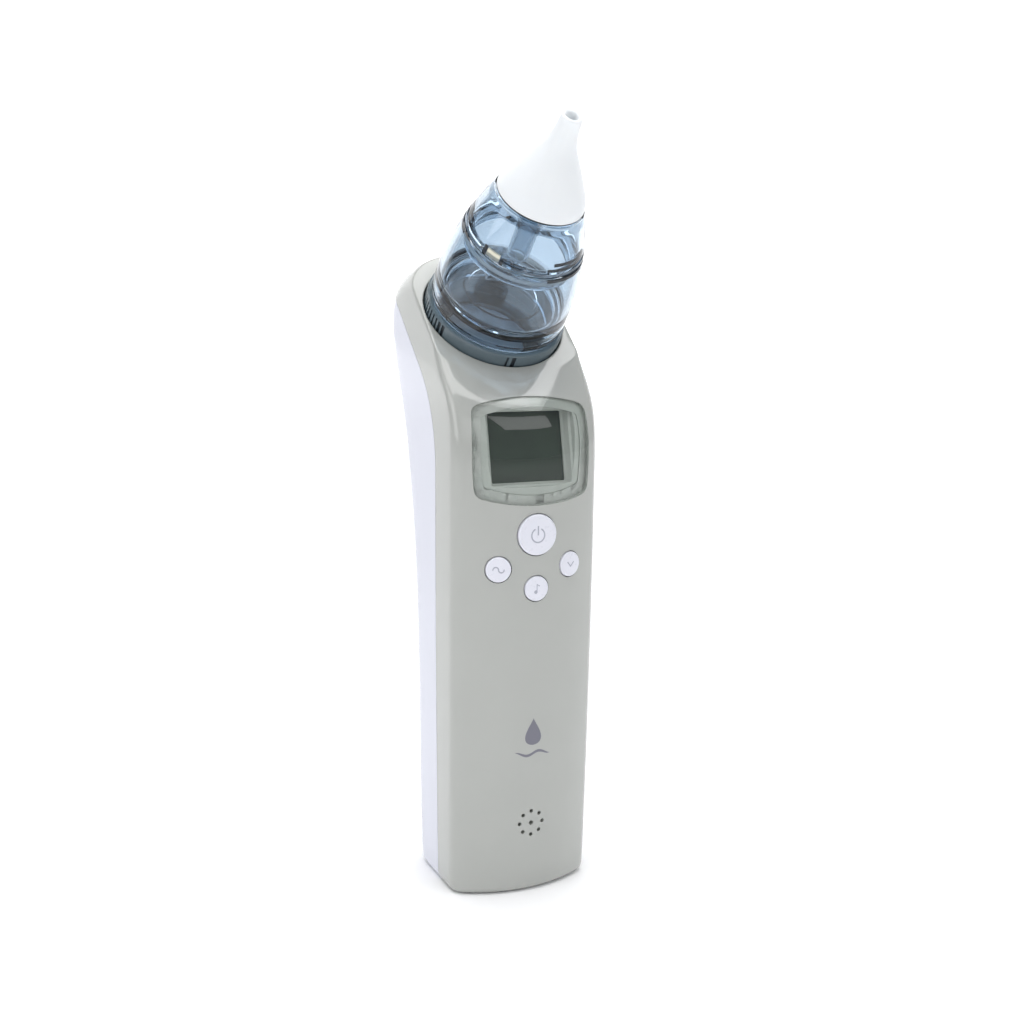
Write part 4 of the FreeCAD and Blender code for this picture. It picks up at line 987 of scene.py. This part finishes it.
def cupCover():
    # Bell above the seam, a skirt down inside the cup, and the neck for the tip.
    seam, top, wall, spigot = cup["seam"], cup["top"], cup["wall"], cup["spigot"]
    skirt = cupRadius(seam) - wall - cup["running"]
    thin, foot, spigotTop = skirt - cup["skirtWall"], seam - cup["skirt"], top + cup["spigotHeight"]
    profile = [(thin, foot + 0.2), (thin + 0.25, foot), (skirt - 0.25, foot), (skirt, foot + 0.2)]
    profile += [(skirt, seam - 3.8), (skirt - 0.7, seam - 3.5), (skirt - 0.7, seam - 2.5),
                (skirt, seam - 2.2)]  # groove for the O-ring
    profile += [(skirt, seam + 0.25), (cupRadius(seam) - 0.3, seam + 0.25),
                (cupRadius(seam + 0.6), seam + 0.6)]
    profile += [(cupRadius(seam + 1.3), seam + 1.3), (cupRadius(seam + 1.5) - 0.3, seam + 1.55),
                (cupRadius(seam + 2.1) - 0.3, seam + 2.1), (cupRadius(seam + 2.4), seam + 2.4)]
    profile += cupLine(seam + 3.0, top - 0.5, 0.0, 18)
    profile += [(cup["topRadius"] - 0.5, top), (spigot, top), (spigot, spigotTop - 0.6),
                (spigot - 0.6, spigotTop), (0, spigotTop), (0, top - wall)]
    inner = list(reversed(cupLine(seam + 1.5, top - wall, wall)))
    profile += roundCorner((inner[0][0] - 1.0, top - wall - 1.0), 1.0, 90, 10, 5) + inner[2:]
    profile += [(thin, seam + 0.6), (thin, foot + 0.2)]
    body = lathe("cupCoverSkin", profile, 128)
    boolean(body, tube("bore", cup["tube"] + 0.02, (0, 0, top - 6), (0, 0, top + 30), 64), "DIFFERENCE")
    return onCupPiece(body, "cover", ["cup_cover"], smokyCup)


def sealRings():
    # O-rings: one round the skirt of the cover, one round the plug of the cup.
    skirt = cupRadius(cup["seam"]) - cup["wall"] - cup["running"]
    coverSeal = hoop("coverSealSkin", skirt - 0.1, 0.52, cup["seam"] - 3.0)
    onCupPiece(coverSeal, "cover", ["cover_seal"], hoseSilicone, 60)
    plugSeal = hoop("plugSealSkin", plugRadius - 0.28, 0.55, -1.8)
    onCupPiece(plugSeal, "cup", ["plug_seal"], darkRubberAndGapShade, 60)


def arcBand(name, radius, height, thick, deep, start, end, steps=40):
    # A rounded bar bent round the cup axis, between two angles in degrees.
    clearSelection()
    bpy.ops.mesh.primitive_circle_add(vertices=14, radius=0.5, fill_type="NGON")
    piece = bpy.context.object
    piece.name = name
    turn = Matrix.Rotation(math.radians(90), 4, "X")
    first = Matrix.Rotation(math.radians(end), 4, "Z")
    oval = Matrix.Diagonal((deep, 1, thick, 1))
    piece.data.transform(first @ Matrix.Translation((radius, 0, height)) @ oval @ turn)
    bpy.ops.object.mode_set(mode="EDIT")
    bpy.ops.mesh.select_all(action="SELECT")
    bpy.ops.mesh.spin(steps=steps, angle=math.radians(end - start), center=(0, 0, 0), axis=(0, 0, 1))
    return closeSkin(piece, 0.001)


def twistRibs():
    # Thick near-black ribs, three at each side of the seam: painted shade along the seam.
    seam, ribs = cup["seam"], []
    spans = ((3.3, -222, -184, 0.1), (1.9, -222, -188, 0.05), (-0.95, -220, -186, 0.05),
             (3.3, -82, -34, 0.1), (1.9, -88, -34, 0.05), (-0.95, -86, -40, 0.05))  # height, angles, sunk by
    for height, start, end, inset in spans:
        radius = cupRadius(seam + height) - 0.5 - inset
        ribs.append(arcBand("rib", radius, seam + height, 0.95, 0.7, start, end))
    for piece, body in ((joinPieces([r for k, r in enumerate(ribs) if k % 3 < 2], "twistRibs"), "cover"),
                        (joinPieces([r for k, r in enumerate(ribs) if k % 3 == 2], "cupRibs"), "cup")):
        onCupPiece(piece, body, (), collarShade, 60)


def indexTab():
    # Cream tab that shows where the cover locks, between two near-black stops that paint the shade at its ends.
    seam, start, end = cup["seam"], tab["start"], tab["end"]
    radius = cupRadius(seam + 1.6) - 0.45
    band = arcBand("indexTab", radius, seam + 1.5, tab["wide"], tab["deep"], start, end, 16)
    onCupPiece(band, "cover", (), creamAbs, 60)
    stops = [arcBand("stop", radius, seam + 1.3, 3.0, 0.75, start - 4.5, start - 1, 6),
             arcBand("stop", radius, seam + 0.9, 1.6, 0.75, end + 1, end + 4.5, 6)]
    onCupPiece(joinPieces(stops, "indexTabEnds"), "cover", (), collarShade, 60)


def tipGapShade():
    # Dark line between the cover's top and the soft tip: a near-black ring of painted shade in the gap there.
    gapShadeRing = hoop("tipFootGapShade", cup["topRadius"] - 0.42, 0.24, cup["top"] + 0.12, 12)
    onCupPiece(gapShadeRing, "cover", (), darkRubberAndGapShade, 60)


def dripTube():
    # Straight tube that hangs from the spigot into the cup.
    radius, end, top = cup["tube"], cup["tubeEnd"], cup["top"] + cup["spigotHeight"]
    inner = radius - cup["tubeWall"]
    profile = [(inner, end + 0.15), (inner + 0.15, end), (radius - 0.2, end), (radius, end + 0.2),
               (radius, top), (inner, top), (inner, end + 0.15)]
    piece = lathe("dripTubeSkin", profile, 64)
    return onCupPiece(piece, "cover", ["drip_tube"], smokyDark)


def noseTip():
    # Soft tip: rolled foot, bell, slim neck, flared lip and the bore.
    foot, span = cup["top"] + 0.3, cup["tipTop"] - cup["top"]
    wide, lip, end, bore = cup["topRadius"], cup["tipRadius"], cup["tipTop"], cup["tipBore"]
    shares = ((0.0, 1.0), (0.12, 0.925), (0.28, 0.755), (0.45, 0.565), (0.6, 0.39), (0.71, 0.305),
              (0.82, 0.262))  # height, radius
    outer = smoothLine([(wide * out, foot + span * up) for up, out in shares] + [(lip, end - 0.6)], 8)
    sleeve, step = cup["spigot"] + 0.06, cup["top"] + cup["spigotHeight"] + 0.4
    profile = [(sleeve, foot), (wide - 0.5, foot), (wide - 0.12, foot + 0.12)]
    profile += [point for point in outer if foot + 0.4 < point[1]]
    profile += roundCorner((lip - 0.55, end - 0.55), 0.55, 10, 150, 7)
    profile += [(bore, end - 1.0), (bore, step + 6.6), (cup["tube"], step), (sleeve, step), (sleeve, foot)]
    piece = lathe("nozzleTipSkin", profile, 128)
    return onCupPiece(piece, "tip", ["nozzle_tip"], tipSilicone, 40)


def socketCollar():
    # Ring of the socket above the mouth: upright grip ribs on one side and two drive bars in front, cut as grooves
    # whose floors are near-black painted shade.
    radius, top, depth = socket["radius"], socket["top"], socket["depth"]
    inner = radius - socket["wall"]
    floor = socket["floor"] - depth
    profile = [(inner, floor), (0, floor), (0, -depth), (radius, -depth), (radius, top - 0.7),
               (radius - 0.12, top - 0.25), (radius - 0.4, top), (inner + 0.3, top), (inner, top - 0.3),
               (inner, floor)]
    body = lathe("cupSocketSkin", profile, 144)
    grooves = []
    for k in range(collar["ribs"]):
        width = collar["thin"] if k < collar["ribs"] - 2 else collar["thick"]
        grooves.append((collar["first"] + collar["pitch"] * k, width))
    dark = []
    for degrees, width in grooves + list(collar["bars"]):
        cutter = block("groove", (radius - 0.32, -width / 2, -2.5), (radius + 1, width / 2, top - 0.55))
        # Near-black sheet at the floor of the groove: painted shade.
        inlay = block("inlay", (radius - 0.42, -width / 2 + 0.02, -2.4),
                      (radius - 0.28, width / 2 - 0.02, top - 0.57))
        for piece in (cutter, inlay):
            piece.data.transform(Matrix.Rotation(math.radians(degrees), 4, "Z"))
        boolean(body, cutter, "DIFFERENCE")
        dark.append(inlay)
    onCupPiece(body, "root", ["cup_socket"], collarSmoke)
    edge, low, high = inner - 0.05, floor - 0.2, floor + 0.05
    plate = lathe("socketFloorPlate", [(0, low), (edge, low), (edge, high), (0, high)])
    onCupPiece(plate, "root", (), socketPlate)
    onCupPiece(joinPieces(dark, "collarGrooveShade"), "root", (), collarShade)


for make in (collectionCup, splashHood, cupCover, sealRings, twistRibs, indexTab, tipGapShade, dripTube,
             noseTip, socketCollar):
    make()
print("cup ready")


# Floor, light and camera.

stage = {"floor": 3.0, "paper": "#FFFFFF", "worldColour": "#F3F6FF", "world": 0.3, "backdropDistance": 2.9,
         "backdropTurn": -25.3, "backdropGlow": 0.8, "glowStart": 0.3, "glowEnd": 1.3}
softboxes = {  # place, aim, size in metres, watts
    "overheadSoftbox": ((-0.02, 0.05, 1.15), (-0.02, 0.05, 0), (1.3, 1.0), 12.0),
    "leftSoftbox": ((-1.0, -0.1, 0.5), (0, 0, 0.1), (0.5, 0.8), 2.3),
    "frontSoftbox": ((-0.7, -1.3, 0.7), (0, 0, 0.1), (0.7, 0.7), 0.9),
    "displaySoftbox": ((0.36, -0.86, 0.9), (0, -0.015, 0.13), (0.8, 0.44), 3.1),
}
view = {"place": (-0.1449, -0.3067, 0.1628), "back": (-0.4199, -0.8891, 0.1821), "roll": 0.97, "lens": 43.95,
        "sensor": 36.0, "shift": (0.0044, 0.0131)}


def litPaper(name):
    # Matt seamless paper, lit from behind: white, with no highlight.
    paper = mouldedPlastic(name, stage["paper"], stage["paper"], 0.9, specular=0.1)
    shader = paper.node_tree.nodes["Principled BSDF"]
    shader.inputs["Emission Color"].default_value = linear(stage["paper"])
    shader.inputs["Emission Strength"].default_value = stage["backdropGlow"]
    return paper, shader


clearSelection()
bpy.ops.mesh.primitive_plane_add(size=stage["floor"] * 2)
floor = bpy.context.object
floor.name = "floor"
floorPaper, floorShader = litPaper("whitePaper")
floorTree = floorPaper.node_tree
# The floor only glows behind the object, so that its own shadow stays.
place = addNode(floorTree, "ShaderNodeTexCoord")
behind = addNode(floorTree, "ShaderNodeVectorMath", {"operation": "DOT_PRODUCT", 1: (0.427, 0.904, 0.0)},
                 {0: place.outputs["Object"]})
glow = addNode(floorTree, "ShaderNodeMapRange",
               {"From Min": stage["glowStart"], "From Max": stage["glowEnd"],
                "To Max": stage["backdropGlow"]},
               {"Value": behind.outputs["Value"]})
floorTree.links.new(glow.outputs["Result"], floorShader.inputs["Emission Strength"])
floor.data.materials.append(floorPaper)

bpy.ops.mesh.primitive_plane_add(size=1)
backdropWall = bpy.context.object
backdropWall.name = "backdrop"
away = Vector((-view["back"][0], -view["back"][1], 0)) * stage["backdropDistance"]
backdropWall.data.transform(Matrix.Translation(away)
                            @ Matrix.Rotation(math.radians(stage["backdropTurn"]), 4, "Z")
                            @ Matrix.Rotation(math.radians(90), 4, "X") @ Matrix.Diagonal((8, 6, 1, 1)))
backdropWall.data.materials.append(litPaper("litBackdrop")[0])

world = bpy.data.worlds.new("studio")
bpy.context.scene.world = world
world.use_nodes = True
backdrop = world.node_tree.nodes["Background"]
backdrop.inputs["Color"].default_value = linear(stage["worldColour"])
backdrop.inputs["Strength"].default_value = stage["world"]


for name, (place, aim, size, watts) in softboxes.items():
    clearSelection()
    bpy.ops.object.light_add(type="AREA", location=place)
    light = bpy.context.object
    light.name = name
    light.data.shape = "RECTANGLE"
    light.data.size, light.data.size_y = size
    light.data.energy = watts
    light.rotation_euler = (Vector(aim) - Vector(place)).to_track_quat("-Z", "Y").to_euler()

bpy.ops.object.camera_add(location=view["place"])
camera = bpy.context.object
camera.name = "camera"
camera.rotation_mode = "QUATERNION"
ahead = (-Vector(view["back"])).to_track_quat("-Z", "Y").to_matrix()
camera.rotation_quaternion = (ahead @ Matrix.Rotation(math.radians(view["roll"]), 3, "Z")).to_quaternion()
camera.data.lens = view["lens"]
camera.data.sensor_width = view["sensor"]
camera.data.shift_x, camera.data.shift_y = view["shift"]
camera.data.clip_start = 0.01
bpy.context.scene.camera = camera
bpy.context.scene.view_settings.view_transform = "Standard"
print("stage ready")
